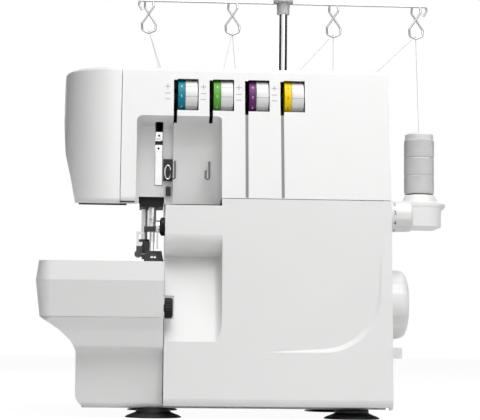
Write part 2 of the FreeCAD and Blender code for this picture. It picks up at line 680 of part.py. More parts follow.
def lower_housing():
    """Column walls at the right, the back and behind the needle, open to the front."""
    outer = box("housing_outer", ("body_left + 1", "body_right"), ("-59.4", "body_back"),
                ("body_low", "recess_low - 0.5"))
    inner = box("housing_inner", ("body_left + 1 + wall", "body_right - wall"), ("-70", "body_back - wall"),
                ("body_low - 1", "200"))
    arm = box("housing_arm", ("body_left", "body_left + 6"), ("-70", "30"), ("0", "bed_z + 0.5"))
    slab = box("housing_slab", ("body_left", "body_left + 6"), ("-70", "body_back - wall"),
               ("0", "body_low + 10"))
    shaft = rod("housing_shaft", "x", ("shaft_y", "shaft_z"), ("90", "110"), "shaft_rad + 3")
    dial = rod("housing_dial", "x", ("length_dial_y", "length_dial_z"), ("90", "110"), "4 + run_fit")
    block = box("block_body", ("body_right - 1", "119"), ("-42", "-2"), ("switch_z - 4.6", "switch_z + 4.6"))
    seat = box("block_seat", ("112", "120"), ("-34", "-14"), ("switch_z - 3.4", "switch_z + 3.4"))
    inlet = box("block_inlet", ("108", "120"), ("-12", "-4.5"), ("switch_z - 3.5", "switch_z + 3.5"))
    pivot = rod("block_pivot", "z", SWITCH_PIVOT, ("switch_z - 4.2", "switch_z + 4.2"), "1 + run_fit")
    piece("lower_housing", cut("lower_housing", fuse("housing_blank", outer, block), inner, arm, slab, shaft,
                               dial, seat, inlet, pivot))


SCREWS = (("-90", "192"), ("80", "192"), ("-90", "268"), ("80", "268"))


def screw_holes():
    """Holes for the rear cover's screws."""
    return [rod("screw_hole%d" % order, "y", spot, ("40", "80"), "screw_rad + run_fit")
            for order, spot in enumerate(SCREWS)]


def screws():
    """Four pan-head screws through the rear cover into the frame's web."""
    solids = []
    for order, spot in enumerate(SCREWS):
        shank = rod("screw_shank%d" % order, "y", spot, ("web_back + 0.2", "body_back + 1"), "screw_rad")
        pan = rod("screw_pan%d" % order, "y", spot, ("body_back + 0.05", "body_back + 2.4"), "3.8")
        solids.append(fuse("screw%d" % order, shank, pan))
    piece("cover_screws", group("cover_screws", *solids))


def work_table():
    """Removable tray round the free arm: a leaning band along its top, and a draft below the band."""
    def tray(name, inset, low, high, rounds):
        end, top, foot = (number(size) for size in ("tray_right + 3*(%s)" % inset, high, low))
        blank = prism(name, "XY", [("tray_right + 3*(%s)" % inset, "front_low - tray_proud + %s" % inset),
                                   ("-half_width + %s" % inset, "front_low - tray_proud + %s" % inset),
                                   ("-half_width + %s" % inset, "tray_back - %s" % inset),
                                   ("tray_right + 3*(%s)" % inset, "tray_back - %s" % inset)],
                      (low, high), rounds)
        band = bevel(name + "_band", blank, "tray_bevel", "tray_lean",
                     lambda m, w, l: m.z > top - 0.1 and abs(m.x - end) > 0.1)
        return bevel(name + "_draft", band, "(%s) - (%s) - tray_bevel - 0.2" % (high, low), "tray_draft",
                     lambda m, w, l: m.z < foot + 0.1 and abs(m.x - end) > 0.1)
    outer = tray("tray_outer", "0", "tray_low", "bed_z", [("tray_round", [1]), ("14", [2])])
    inner = tray("tray_inner", "wall", "tray_low - wall", "bed_z - wall",
                 [("tray_round - wall", [1]), ("11.5", [2])])
    arm = box("tray_arm", ("-141", "tray_right + 1"), ("-98", "22"), ("bed_z - 10", "bed_z + 1"))
    piece("work_table", cut("work_table", outer, inner, arm))


def base_cover():
    """Lower left body cover with a cove that flares out to the work table."""
    def side(inset):
        return [("tray_right + 3*(%s)" % inset, "body_low - %s" % inset),
                ("base_left + %s" % inset, "body_low - %s" % inset),
                ("base_left + %s" % inset, "tray_low - 22"), ("base_left - 13 + %s" % inset, "tray_low - 10"),
                ("tray_draft - half_width + 2*(%s)" % inset, "tray_low - 0.2 - %s" % inset),
                ("tray_right + 3*(%s)" % inset, "tray_low - 0.2 - %s" % inset)]

    def front(inset):
        return [("front_low + base_set + %s" % inset, "body_low - %s" % inset),
                ("front_low + base_set + %s" % inset, "tray_low - 27 + 0.7*(%s)" % inset),
                ("front_low - 1 + %s" % inset, "tray_low - 23.5 + 0.7*(%s)" % inset),
                ("front_low - tray_proud/3 + %s" % inset, "tray_low - 10"),
                ("front_low - tray_proud + tray_draft + 2*(%s)" % inset, "tray_low - 0.2 - %s" % inset),
                ("body_back - %s" % inset, "tray_low - 0.2 - %s" % inset),
                ("body_back - %s" % inset, "body_low - %s" % inset)]
    flared = common("base_flared",
                   prism("base_side", "XZ", side("0"), ("front_low - tray_proud", "body_back"),
                         [("18", [2, 3]), ("11", [1])]),
                   prism("base_front", "YZ", front("0"), ("-half_width", "tray_right"),
                         [("5", [0]), ("4", [1]), ("2.5", [2]), ("14", [3])]))
    plan = prism("base_plan", "XY",
                 [("tray_right", "front_low - tray_proud + tray_draft"),
                  ("tray_draft - half_width", "front_low - tray_proud + tray_draft"),
                  ("tray_draft - half_width", "body_back"), ("tray_right", "body_back")],
                 ("body_low", "tray_low"), [("tray_round", [1])])
    outer = common("base_outer", flared, plan)
    inner = common("base_inner",
                   prism("base_side_in", "XZ", side("wall"), ("front_low - tray_proud", "body_back"),
                         [("18", [2, 3])]),
                   prism("base_front_in", "YZ", front("wall"), ("-half_width", "tray_right + 6"),
                         [("2.5", [1]), ("4", [2])]))
    arm = box("base_arm", ("-141", "tray_right + 1"), ("-112", "23"), ("tray_low - 6", "tray_low + 1"))
    floor = box("base_floor", ("-148", "tray_right + 1"), ("front_low + base_set + wall", "body_back - wall"),
                ("0", "body_low + 8"))
    piece("base_cover", cut("base_cover", outer, inner, arm, floor))


def ramp_at(height):
    """Face of the finger scoop's ramp at a height, as a formula."""
    low = low_front_at("scoop_out")
    deep = "%s + scoop_depth" % low_front_at("scoop_z")
    return "%s + (%s - (%s))*((%s) - scoop_out)/(scoop_z - 4 - scoop_out)" % (low, deep, low, height)


def free_arm():
    """Cover of the free arm, needle plate, and the panel and dial beside the scoop."""
    outer = box("arm_outer", ("-140", "tray_right"), ("-97", "21"), ("tray_low + 0.4", "bed_z"))
    inner = box("arm_inner", ("-140 + wall", "tray_right + 1"), ("-97 + wall", "21 - wall"),
                ("0", "bed_z - 2"))
    seat = box("arm_seat", ("-112.5", "tray_right + 1"), ("-90.5", "-14.5"), ("bed_z - 3", "bed_z + 1"))
    lug_gap = box("arm_lug_gap", ("-100", "tray_right + 1"), ("-100", "-90"),
                  ("tray_low", "width_dial_z + 8"))
    hollow = cut("arm_hollow", outer, inner, seat, lug_gap)
    plate = box("plate_blank", ("-112", "-86.9"), ("-90", "-15"), ("bed_z - 2", "bed_z"))
    slots = [box("plate_slot%d" % order, (x, x + " + 4"), ("needle_y - 22", "needle_y + 24"),
                 ("bed_z - 3", "bed_z + 1"))
             for order, x in enumerate(("needle_x - 12.3", "needle_x - 7.3"))]
    slots.append(box("plate_eye", ("needle_x - 3", "needle_x + 3"), ("needle_y - 3.5", "needle_y + 1.5"),
                     ("bed_z - 3", "bed_z + 1")))
    piece("needle_plate", cut("needle_plate", plate, *slots))
    bars = []
    for order, x in enumerate(("needle_x - 11.8", "needle_x - 6.8")):
        bars.append(box("feed_bar%d" % order, (x, x + " + 3"), ("needle_y - 18", "needle_y + 20"),
                        ("bed_z - 7", "bed_z + 0.3")))
        for tooth in range(9):
            y = "needle_y - 16 + %d*4" % tooth
            bars.append(prism("feed_tooth%d_%d" % (order, tooth), "YZ",
                              [(y, "bed_z + 0.2"), (y + " + 2", "bed_z + 0.2"), (y + " + 1", "bed_z + 1")],
                              (x, x + " + 3")))
    cross = box("feed_cross", ("needle_x - 11.8", "needle_x - 3.8"), ("needle_y - 18", "needle_y + 20"),
                ("bed_z - 12", "bed_z - 7"))
    piece("feed_dogs", fuse("feed_dogs", cross, *bars))
    low, high = "width_dial_z - 7.9", "width_dial_z + 9.9"
    panel = prism("panel_face", "YZ",
                  [(ramp_at(low), low), (ramp_at(high), high), (ramp_at(high) + " + wall", high),
                   (ramp_at(low) + " + wall", low)], ("-100", "body_left + 7.5"))
    tie = box("panel_tie", ("-100", "body_left - 3"), ("-102", "-96"),
              ("width_dial_z + 6", "width_dial_z + 12"))
    gap = box("panel_gap", ("-101", "-85"), ("-130", "-90"), ("width_dial_z - 13", "width_dial_z + 5.5"))
    piece("arm_cover", fuse("arm_cover", hollow, tie, cut("panel_trim", panel, gap)))
    profile = [("-99", "0"), ("-99", "width_pin_rad"), ("body_left + 0.2", "width_pin_rad"),
               ("body_left + 0.2", "width_dial_rad"), ("body_left + 6.6", "width_dial_rad"),
               ("body_left + 6.6", "0")]
    piece("cutting_width_dial", turned("cutting_width_dial", "x", profile, ("width_dial_y", "width_dial_z")))
    piece("lower_knife",
          box("lower_knife", ("-84.6", "-83.4"), ("knife_y - 5", "knife_y + 5"), ("98", "bed_z - 0.5")))


def frame():
    """Cast frame: base slab, web, arm plates and the blocks that carry the shafts."""
    slab = box("frame_slab", ("-136", "90"), ("-86", "web_back"), ("body_low + 3", "body_low + 9"))
    web = prism("frame_web", "XZ",
                [("-70", "body_low + 4"), ("3", "body_low + 4"), ("3", "74"), ("70", "74"), ("70", "122"),
                 ("90", "122"), ("90", "head_top - 12"), ("-112", "head_top - 12"), ("-112", "176"),
                 ("-70", "176")], ("web_front", "web_back"))
    blocks = [box("frame_arm_front", ("-136", "-84"), ("-90", "-86"), ("body_low + 3", "bed_z - 4")),
              box("frame_arm_end", ("-136", "-132"), ("-90", "16"), ("body_low + 3", "bed_z - 4")),
              box("frame_arm_back", ("-136", "-66"), ("10", "16"), ("body_low + 3", "bed_z - 4")),
              box("frame_arm_tie", ("-70", "-64"), ("10", "web_back"), ("body_low + 3", "bed_z - 4")),
              box("frame_dial_lug", ("-98", "-86"),
                  ("front_low - tray_proud + tray_draft + wall + 0.2", "-88"),
                  ("width_dial_z - 5", "width_dial_z + 5")),
              box("frame_knife", ("-75", "-66"), ("knife_y - 7", "web_front + 1"),
                  ("knife_z - 7", "knife_z + 7")),
              box("frame_bar_low", ("presser_x - 7", "needle_x + 8"), ("needle_y - 8", "web_front + 1"),
                  ("178.5", "185")),
              box("frame_bar_web", ("presser_x - 7", "needle_x + 8"), ("-28", "web_front + 1"),
                  ("182", "197")),
              box("frame_bar_high", ("presser_x - 7", "needle_x + 8"), ("needle_y - 8", "web_front + 1"),
                  ("247", "254")),
              box("frame_looper", ("-70", "-58"), ("-48", "12"), ("body_low + 5", "96")),
              box("frame_looper_front", ("-70", "-58"), ("-61", "-56"), ("body_low + 5", "96")),
              box("frame_lower_knife", ("-83.2", "-70"), ("knife_y - 5", "knife_y + 5"), ("98", "108")),
              box("frame_lower_knife_leg", ("-78", "-70"), ("-90", "knife_y + 5"), ("body_low + 5", "108"))]
    for order, x in enumerate(("-56", "56")):
        blocks.append(box("frame_shaft%d" % order, (x, x + " + 9"), ("shaft_y - 12", "web_front + 1"),
                          ("shaft_z - 12", "shaft_z + 12")))
    for order, x in enumerate(("-72", "36")):
        blocks.append(box("frame_rocker%d" % order, (x, x + " + 8"), ("rocker_y - 9", "web_front + 1"),
                          ("rocker_z - 9", "rocker_z + 9")))
    blocks.append(box("frame_motor", ("22", "58"), ("motor_y - 14", "motor_y + 14"),
                      ("body_low + 3", "motor_z - 8")))
    bores = [rod("bore_main", "x", ("shaft_y", "shaft_z"), ("-80", "80"), "shaft_rad + 3"),
             rod("bore_rocker", "x", ("rocker_y", "rocker_z"), ("-80", "80"), "rocker_rad + run_fit"),
             rod("bore_knife", "x", ("knife_y", "knife_z"), ("-80", "-60"), "3 + run_fit"),
             rod("bore_dial", "x", ("width_dial_y", "width_dial_z"), ("-101", "-80"),
                 "width_pin_rad + run_fit"),
             rod("bore_needle", "z", ("needle_x", "needle_y"), ("160", "260"), "bar_rad + 2.5"),
             rod("bore_presser", "z", ("presser_x", "presser_y"), ("160", "260"), "presser_rad + run_fit"),
             rod("bore_lifter", "y", ("presser_x", "lifter_z"), ("0", "60"), "lifter_rad + run_fit"),
             rod("bore_motor", "x", ("motor_y", "motor_z"), ("0", "70"), "motor_rad + 0.1"),
             rod("bore_lower", "y", ("-64", "84"), ("-62", "14"), "looper_rad + run_fit"),
             rod("bore_length", "x", ("length_dial_y", "length_dial_z"), ("60", "120"), "4 + run_fit")]
    bores += [rod("bore_screw%d" % order, "y", spot, ("web_front - 1", "web_back + 1"), "screw_rad + run_fit")
              for order, spot in enumerate(SCREWS)]
    below = under_head("frame_under", "wall + 0.8", "body_left + wall + 0.8")
    nose = box("frame_nose", ("presser_x - 4.4", "body_left - 1.4"), ("needle_y - 8", "presser_y + 8.5"),
               ("head_low + 1.8", "180.5"))
    casting = fuse("frame_casting", cut("frame_cleared", fuse("frame_blank", slab, web, *blocks), below),
                   nose)
    piece("main_frame", cut("main_frame", casting, *bores))


def drive():
    """Handwheel, main shaft with its crank, bushes, belt drive and motor."""
    bushes = []
    for order, x in enumerate(("-56", "56")):
        profile = [(x, "shaft_rad + run_fit"), (x, "shaft_rad + 3"), (x + " + 9", "shaft_rad + 3"),
                   (x + " + 9", "shaft_rad + run_fit")]
        bushes.append(turned("shaft_bush%d" % order, "x", profile, ("shaft_y", "shaft_z")))
    for order, z in enumerate(("178", "247")):
        profile = [(z, "bar_rad + run_fit"), (z, "bar_rad + 2.5"), (z + " + 8", "bar_rad + 2.5"),
                   (z + " + 8", "bar_rad + run_fit")]
        bushes.append(turned("needle_bush%d" % order, "z", profile, ("needle_x", "needle_y")))
    piece("bearing_bushes", group("bearing_bushes", *bushes))
    shaft = rod("shaft_bar", "x", ("shaft_y", "shaft_z"), ("-60", "wheel_out - 8"), "shaft_rad")
    crank = rod("shaft_crank", "x", ("shaft_y", "shaft_z + crank_throw"), ("-33", "-27"), "crank_rad + 1")
    piece("main_shaft", fuse("main_shaft", shaft, crank))
    profile = [("74", "shaft_rad + run_fit"), ("74", "pulley_rad + 3"), ("76", "pulley_rad + 3"),
               ("76", "pulley_rad"), ("84", "pulley_rad"), ("84", "pulley_rad + 3"),
               ("86", "pulley_rad + 3"), ("86", "shaft_rad + run_fit")]
    piece("drive_pulley", turned("drive_pulley", "x", profile, ("shaft_y", "shaft_z")))
    profile = [("body_right + 2", "shaft_rad + run_fit"), ("body_right + 2", "wheel_rad - 5"),
               ("body_right + 4", "wheel_rad - 0.8"), ("body_right + 8", "wheel_rad"),
               ("wheel_out - 6", "wheel_rad - 0.8"), ("wheel_out - 2", "wheel_rad - 3"),
               ("wheel_out", "wheel_rad - 8"), ("wheel_out", "shaft_rad + 4"),
               ("wheel_out - 7", "shaft_rad + 4"), ("wheel_out - 7", "0"), ("wheel_out - 7.9", "0"),
               ("wheel_out - 7.9", "shaft_rad + run_fit")]
    piece("handwheel", turned("handwheel", "x", profile, ("shaft_y", "shaft_z")))
    can = rod("motor_can", "x", ("motor_y", "motor_z"), ("8", "68"), "motor_rad")
    bore = rod("motor_bore", "x", ("motor_y", "motor_z"), ("30", "69"), "2.5 + run_fit")
    piece("motor", cut("motor", can, bore))
    profile = [("31", "0"), ("31", "2.5"), ("74", "2.5"), ("74", "motor_pulley_rad + 2"),
               ("76", "motor_pulley_rad + 2"), ("76", "motor_pulley_rad"), ("84", "motor_pulley_rad"),
               ("84", "motor_pulley_rad + 2"), ("86", "motor_pulley_rad + 2"), ("86", "0")]
    piece("motor_pulley", turned("motor_pulley", "x", profile, ("motor_y", "motor_z")))
    piece("drive_belt", belt())


def belt():
    """Flat loop round the belt wheel and the motor pulley, with straight runs."""
    def loop(inset):
        big = number("pulley_rad") + 0.4 + inset
        small = number("motor_pulley_rad") + 0.4 + inset
        one = FreeCAD.Vector(0, number("shaft_y"), number("shaft_z"))
        two = FreeCAD.Vector(0, number("motor_y"), number("motor_z"))
        reach = two - one
        lean = math.acos((big - small) / reach.Length)
        base_angle = math.atan2(reach.z, reach.y)

        def spot(centre, radius, angle):
            return centre + FreeCAD.Vector(0, radius * math.cos(angle), radius * math.sin(angle))
        up, down = base_angle + lean, base_angle - lean
        arc_big = Part.Arc(spot(one, big, up), spot(one, big, base_angle + math.pi),
                           spot(one, big, down)).toShape()
        arc_small = Part.Arc(spot(two, small, down), spot(two, small, base_angle),
                             spot(two, small, up)).toShape()
        return Part.Face(Part.Wire([arc_big, Part.makeLine(spot(one, big, down), spot(two, small, down)),
                                    arc_small, Part.makeLine(spot(two, small, up), spot(one, big, up))]))
    ring = loop(number("belt_thick")).cut(loop(0))
    item = doc.addObject("Part::Feature", "drive_belt")
    item.Shape = ring.extrude(FreeCAD.Vector(number("belt_wide"), 0, 0))
    return bind(item, Placement__Base__x="80 - belt_wide/2")


def needle_drive():
    """Rocker shaft, connecting rod, needle bar with its block, clamp, needles and take-up bar."""
    shaft = rod("rocker_bar", "x", ("rocker_y", "rocker_z"), ("-84", "50"), "rocker_rad")
    arm = box("rocker_arm", ("-83.5", "-79.5"), ("needle_y - 3", "rocker_y"),
              ("rocker_z - 3", "rocker_z + 3"))
    pin = rod("rocker_pin", "x", ("needle_y", "rocker_z"), ("-87", "-80"), "2")
    crank = box("rocker_crank", ("-38", "-34"), ("shaft_y - 3", "rocker_y"), ("rocker_z - 3", "rocker_z + 3"))
    crank_pin = rod("rocker_crank_pin", "x", ("shaft_y", "rocker_z"), ("-36", "-26"), "2")
    piece("rocker_shaft", fuse("rocker_shaft", shaft, arm, pin, crank, crank_pin))
    yoke = box("yoke_blank", ("-33", "-27"), ("shaft_y - 17", "shaft_y + 17"),
               ("shaft_z - 21", "shaft_z + 21"))
    stem = box("yoke_stem", ("-33", "-27"), ("shaft_y - 4", "shaft_y + 4"), ("shaft_z + 20", "rocker_z + 6"))
    room = box("yoke_room", ("-34", "-26"), ("shaft_y - 13.5", "shaft_y + 13.5"),
               ("shaft_z - 18.2", "shaft_z + 18.2"))
    eye = box("yoke_eye", ("-34", "-26"), ("shaft_y - 2.9", "shaft_y + 2.9"),
              ("rocker_z - 2.6", "rocker_z + 2.6"))
    piece("connecting_rod", cut("connecting_rod", fuse("yoke_body", yoke, stem), room, eye))
    piece("needle_bar", rod("needle_bar", "z", ("needle_x", "needle_y"), ("152", "264"), "bar_rad"))
    block = box("block_blank", ("needle_x - 4.8", "-84"), ("needle_y - 7", "needle_y + 8"),
                ("rocker_z - 6", "rocker_z + 6"))
    hole = rod("block_hole", "z", ("needle_x", "needle_y"), ("rocker_z - 7", "rocker_z + 7"),
               "bar_rad + 0.02")
    slot = box("block_slot", ("-87.6", "-83"), ("needle_y - 2.6", "needle_y + 7"),
               ("rocker_z - 2.7", "rocker_z + 2.7"))
    block = cut("block_cut", block, hole, slot)
    clamp = box("clamp_blank", ("-97.9", "-88.2"), ("needle_y - 4", "needle_y + 5"), ("150.3", "154.5"))
    room = rod("clamp_room", "z", ("needle_x", "needle_y"), ("151.9", "155"), "bar_rad + 0.02")
    sockets = [rod("clamp_socket%d" % order, "z", (x, "needle_y - 1"), ("150", "153.5"), "0.82")
               for order, x in enumerate(("needle_x - needle_gap/2", "needle_x + needle_gap/2"))]
    piece("needle_clamp", cut("needle_clamp", clamp, room, *sockets))
    needles = [fuse("needle%d" % order,
                    rod("needle_shank%d" % order, "z", (x, "needle_y - 1"), ("142", "151.8"), "0.8"),
                    cone("needle_point%d" % order, "z", (x, "needle_y - 1"), ("126", "142.1"),
                         ("0.15", "0.5")))
               for order, x in enumerate(("needle_x - needle_gap/2", "needle_x + needle_gap/2"))]
    piece("needles", group("needles", *needles))
    bar = box("take_bar", ("needle_x + 1.7", "needle_x + 7.4"),
              ("recess_wall_y + wall + 0.5", "recess_wall_y + wall + 1.7"), ("188", "rocker_z + 10"))
    gap = box("take_gap", ("needle_x + 1", "needle_x + 6"), ("recess_wall_y", "needle_y - 8"),
              ("rocker_z + 1.4", "rocker_z + 4.6"))
    foot = box("take_foot", ("needle_x + 2", "needle_x + 7"), ("recess_wall_y + wall + 1", "needle_y - 7"),
               ("rocker_z - 5", "rocker_z - 1"))
    eye = rod("take_eye", "y", ("needle_x + 4.6", "rocker_z + 7"), ("recess_wall_y", "needle_y - 8"), "0.9")
    piece("take_up_block", fuse("take_up_block", block, cut("take_plate", bar, gap, eye), foot))


def presser():
    """Presser bar with collar, spring, ankle and foot, and the lifter at the back."""
    bar = rod("presser_rod", "z", ("presser_x", "presser_y"), ("137", "268"), "presser_rad")
    collar = rod("presser_collar", "z", ("presser_x", "presser_y"), ("221", "225"), "6.5")
    piece("presser_bar", fuse("presser_bar", bar, collar))
    helix = Part.makeHelix(3.2, 19.2, number("presser_rad") + 1.6)
    ring = Part.Wire(Part.makeCircle(0.6, FreeCAD.Vector(number("presser_rad") + 1.6, 0, 0),
                                     FreeCAD.Vector(0, 1, 0)))
    spring = doc.addObject("Part::Feature", "presser_spring")
    spring.Shape = Part.Wire(helix).makePipeShell([ring], True, True)
    place(spring, "presser_x", "presser_y", "226.2")
    piece("presser_spring", spring)
    ankle = prism("foot_ankle", "XZ",
                  [("-96.2", "126.5"), ("-93.2", "126.5"), ("-92.8", "143"), ("-98", "143")],
                  ("-48", "presser_y - presser_rad - 0.3"))
    stem = rod("foot_stem", "z", ("presser_x", "presser_y"), ("133", "145"), "presser_rad + 2")
    stem_hole = rod("foot_hole", "z", ("presser_x", "presser_y"), ("136.9", "146"), "presser_rad + 0.02")
    upper = prism("foot_upper", "XZ",
                  [("-97.4", "126.5"), ("-82", "126.5"), ("-83.3", "133.5"), ("-96.4", "133.5")],
                  ("-72", "-46"))
    window = box("foot_window", ("-92.7", "-87.7"), ("-80", "-20"), ("127.8", "130.4"))
    sole = prism("foot_sole", "XZ",
                 [("-98.1", "bed_z + 1.2"), ("-81.2", "bed_z + 1.2"), ("-82", "126.6"), ("-97.4", "126.6")],
                 ("-76", "-30"))
    slot = box("foot_slot", ("-94.3", "-88"), ("needle_y - 4", "needle_y + 3"), ("110", "150"))
    lug = box("foot_lug", ("-99.5", "-95"), ("-66", "-62"), ("127", "131"))
    blank = fuse("foot_blank", ankle, stem, upper, sole, lug)
    piece("presser_foot", cut("presser_foot", blank, slot, window, stem_hole))
    bracket = box("guide_plate", ("-104", "-99"), ("-66", "-64.5"), ("139", "149.6"))
    opening = box("guide_window", ("-102", "-98"), ("-67", "-64"), ("141", "147.5"))
    knob = rod("guide_knob", "y", ("-102.6", "131"), ("-72", "-62"), "2.8")
    arm = box("guide_arm", ("-104", "-99.5"), ("-66", "-62"), ("129", "140"))
    piece("foot_release", fuse("foot_release", cut("guide_frame", bracket, opening), knob, arm))
    shaft = rod("lifter_shaft", "y", ("presser_x", "lifter_z"), ("-34", "76"), "lifter_rad")
    lobe = box("lifter_lobe", ("presser_x - 13", "presser_x"), ("-34", "-27"),
               ("lifter_z - 3", "lifter_z + 3"))
    grip = box("lifter_grip", ("presser_x - 34", "presser_x"), ("70.5", "76"),
               ("lifter_z - 4", "lifter_z + 4"))
    piece("presser_lifter", fuse("presser_lifter", shaft, lobe, grip))


def knife_and_loopers():
    """Upper knife with its shaft and knob, and the two loopers under the bed."""
    shaft = rod("knife_bar", "x", ("knife_y", "knife_z"), ("-88.3", "-60"), "3")
    profile = [("-85.4", "3 + 0.02"), ("-85.4", "5"), ("-84", "7.4"), ("-80.9", "7.4"), ("-80.9", "3 + 0.02")]
    piece("knife_knob", turned("knife_knob", "x", profile, ("knife_y", "knife_z")))
    blade = box("knife_blade", ("-87.6", "-86.2"), ("knife_y - 4", "knife_y + 4"), ("135", "knife_z"))
    boss = rod("knife_boss", "x", ("knife_y", "knife_z"), ("-88.2", "-85.6"), "5")
    piece("upper_knife", fuse("upper_knife", blade, boss, shaft))
    for name, y, outline in (("lower_looper", "-52",
                              [("-60", "78"), ("-60", "90"), ("-68", "92"), ("-72", "100"),
                               ("-96", "103.5"), ("-97", "102"), ("-76", "96"), ("-72", "88"),
                               ("-68", "78")]),
                             ("upper_looper", "-64",
                              [("-60", "80"), ("-60", "92"), ("-66", "96"), ("-74", "114"), ("-80", "117"),
                               ("-80", "115"), ("-77", "112"), ("-70", "94"), ("-68", "80")])):
        plate = prism(name + "_plate", "XZ", outline, (y + " - 1.5", y + " + 1.5"))
        span = ("-55", "8") if name == "lower_looper" else ("-67", "-56.5")
        piece(name, fuse(name, plate, rod(name + "_pivot", "y", ("-64", "84"), span, "looper_rad")))


def tension():
    """Four tension dials on their posts, with discs, springs and the carrying bracket."""
    posts, discs, springs, ears = [], [], [], []
    for order in range(4):
        x = slot_x(order)
        profile = [(x + " + 1.9", "post_rad + run_fit"), (x + " + 1.9", "dial_rad - 1"),
                   (x + " + 2.9", "dial_rad"), (x + " + 0.9 + dial_wide", "dial_rad"),
                   (x + " + 1.9 + dial_wide", "dial_rad - 1"),
                   (x + " + 1.9 + dial_wide", "post_rad + run_fit")]
        piece("tension_dial_%d" % (order + 1),
              turned("tension_dial_%d" % (order + 1), "x", profile, ("dial_y", "dial_z")))
        posts.append(rod("tension_post%d" % order, "x", ("dial_y", "dial_z"),
                         (x + " - 7.5", x + " + 3.9 + dial_wide"), "post_rad"))
        for side, start in enumerate((" - 0.9", " + 0.3")):
            profile = [(x + start, "post_rad + run_fit"), (x + start, "8"), (x + start + " + 0.6", "8"),
                       (x + start + " + 0.6", "post_rad + run_fit")]
            discs.append(turned("tension_disc%d_%d" % (order, side), "x", profile, ("dial_y", "dial_z")))
        profile = [(x + " - 4", "post_rad + run_fit"), (x + " - 4", "5.5"), (x + " - 1.2", "7"),
                   (x + " - 1.2", "post_rad + run_fit")]
        springs.append(turned("tension_spring%d" % order, "x", profile, ("dial_y", "dial_z")))
        ears.append(box("tension_ear%d" % order, (x + " - 7", x + " - 4.3"), ("dial_y - 6", "-50"),
                        ("dial_z - 7", "dial_z + 7")))
    bar = box("tension_bar", (slot_x(0) + " - 7", slot_x(3) + " + 2"), ("-54", "-50"),
              ("dial_z - 7", "dial_z + 7"))
    tie = box("tension_tie", ("-20", "-10"), ("-51", "web_front"), ("dial_z - 5", "dial_z + 5"))
    piece("tension_bracket", fuse("tension_bracket", bar, tie, *(ears + posts)))
    piece("tension_discs", group("tension_discs", *discs))
    piece("tension_springs", group("tension_springs", *springs))


def controls():
    """Stitch length dial, power block with its rocker, and the guides in the recess."""
    profile = [("86", "0"), ("86", "4"), ("body_right + 0.6", "4"),
               ("body_right + 0.6", "length_skirt_rad"), ("108", "length_skirt_rad - 0.2"),
               ("108", "length_knob_rad"), ("125.5", "length_knob_rad - 0.4"),
               ("127", "length_knob_rad - 2"), ("127", "0")]
    piece("stitch_length_dial",
          turned("stitch_length_dial", "x", profile, ("length_dial_y", "length_dial_z")))
    rocker = prism("switch_rocker", "XY",
                   [("114", "-24.5"), ("114", "-23.5"), ("119.5", "-15.2"), ("121.6", "-15.6"),
                    ("119.6", "-24"), ("119.6", "-32.4"), ("118.2", "-32.8")],
                   ("switch_z - 3.1", "switch_z + 3.1"))
    pin = rod("switch_pin", "z", SWITCH_PIVOT, ("switch_z - 4.1", "switch_z + 4.1"), "1")
    piece("power_switch", fuse("power_switch", rocker, pin))
    plate = box("guide_block", ("-83", "recess_mid - 0.4"), ("recess_wall_y - 3", "recess_wall_y - 0.05"),
                ("191", "209"))
    button = rod("guide_button", "y", ("-79.2", "198"), ("recess_wall_y - 5", "recess_wall_y - 2"), "3.4")
    hooks = [fuse("needle_thread_guide", plate, button),
             box("lower_thread_guide", ("-80.8", "-76.6"), ("recess_wall_y - 3", "recess_wall_y - 0.05"),
                 ("178.8", "186.3"))]
    for order, x in enumerate((number(slot_x(0)) + 0.4, number(slot_x(1)) - 0.6)):
        wall_y = number("recess_wall_y") - number("recess_step") - 0.05
        hooks.append(wire_piece("hook%d" % order,
                                [(x, wall_y, 206), (x, wall_y - 9, 206), (x, wall_y - 9, 192),
                                 (x - 3, wall_y - 9, 192), (x - 3, wall_y - 9, 199)],
                                0.8, 1.2))
    piece("recess_guides", group("recess_guides", *hooks))
    guides = []
    for order, x in enumerate(("-85", "-33", "28", "94")):
        post = box("top_guide_post%d" % order, (x + " - 5", x + " + 5"), ("guide_y - 1", "guide_y + 1"),
                   ("head_top + 0.05", "guide_z + 4"))
        base_plate = box("top_guide_base%d" % order, (x + " - 7", x + " + 7"),
                         ("guide_y - 5", "guide_y + 5"), ("head_top + 0.05", "head_top + 2"))
        eye = rod("top_guide_eye%d" % order, "y", (x, "guide_z"), ("guide_y - 2", "guide_y + 2"), "2.2")
        guides.append(cut("top_guide%d" % order, fuse("top_guide_blank%d" % order, post, base_plate), eye))
    piece("top_thread_guides", group("top_thread_guides", *guides))


def thread_piece(name, start, end):
    """A straight run of thread between two points."""
    start, end = FreeCAD.Vector(*start), FreeCAD.Vector(*end)
    line = doc.addObject("Part::Feature", name)
    line.Shape = Part.makeCylinder(number("thread_line"), (end - start).Length, start, end - start)
    return line


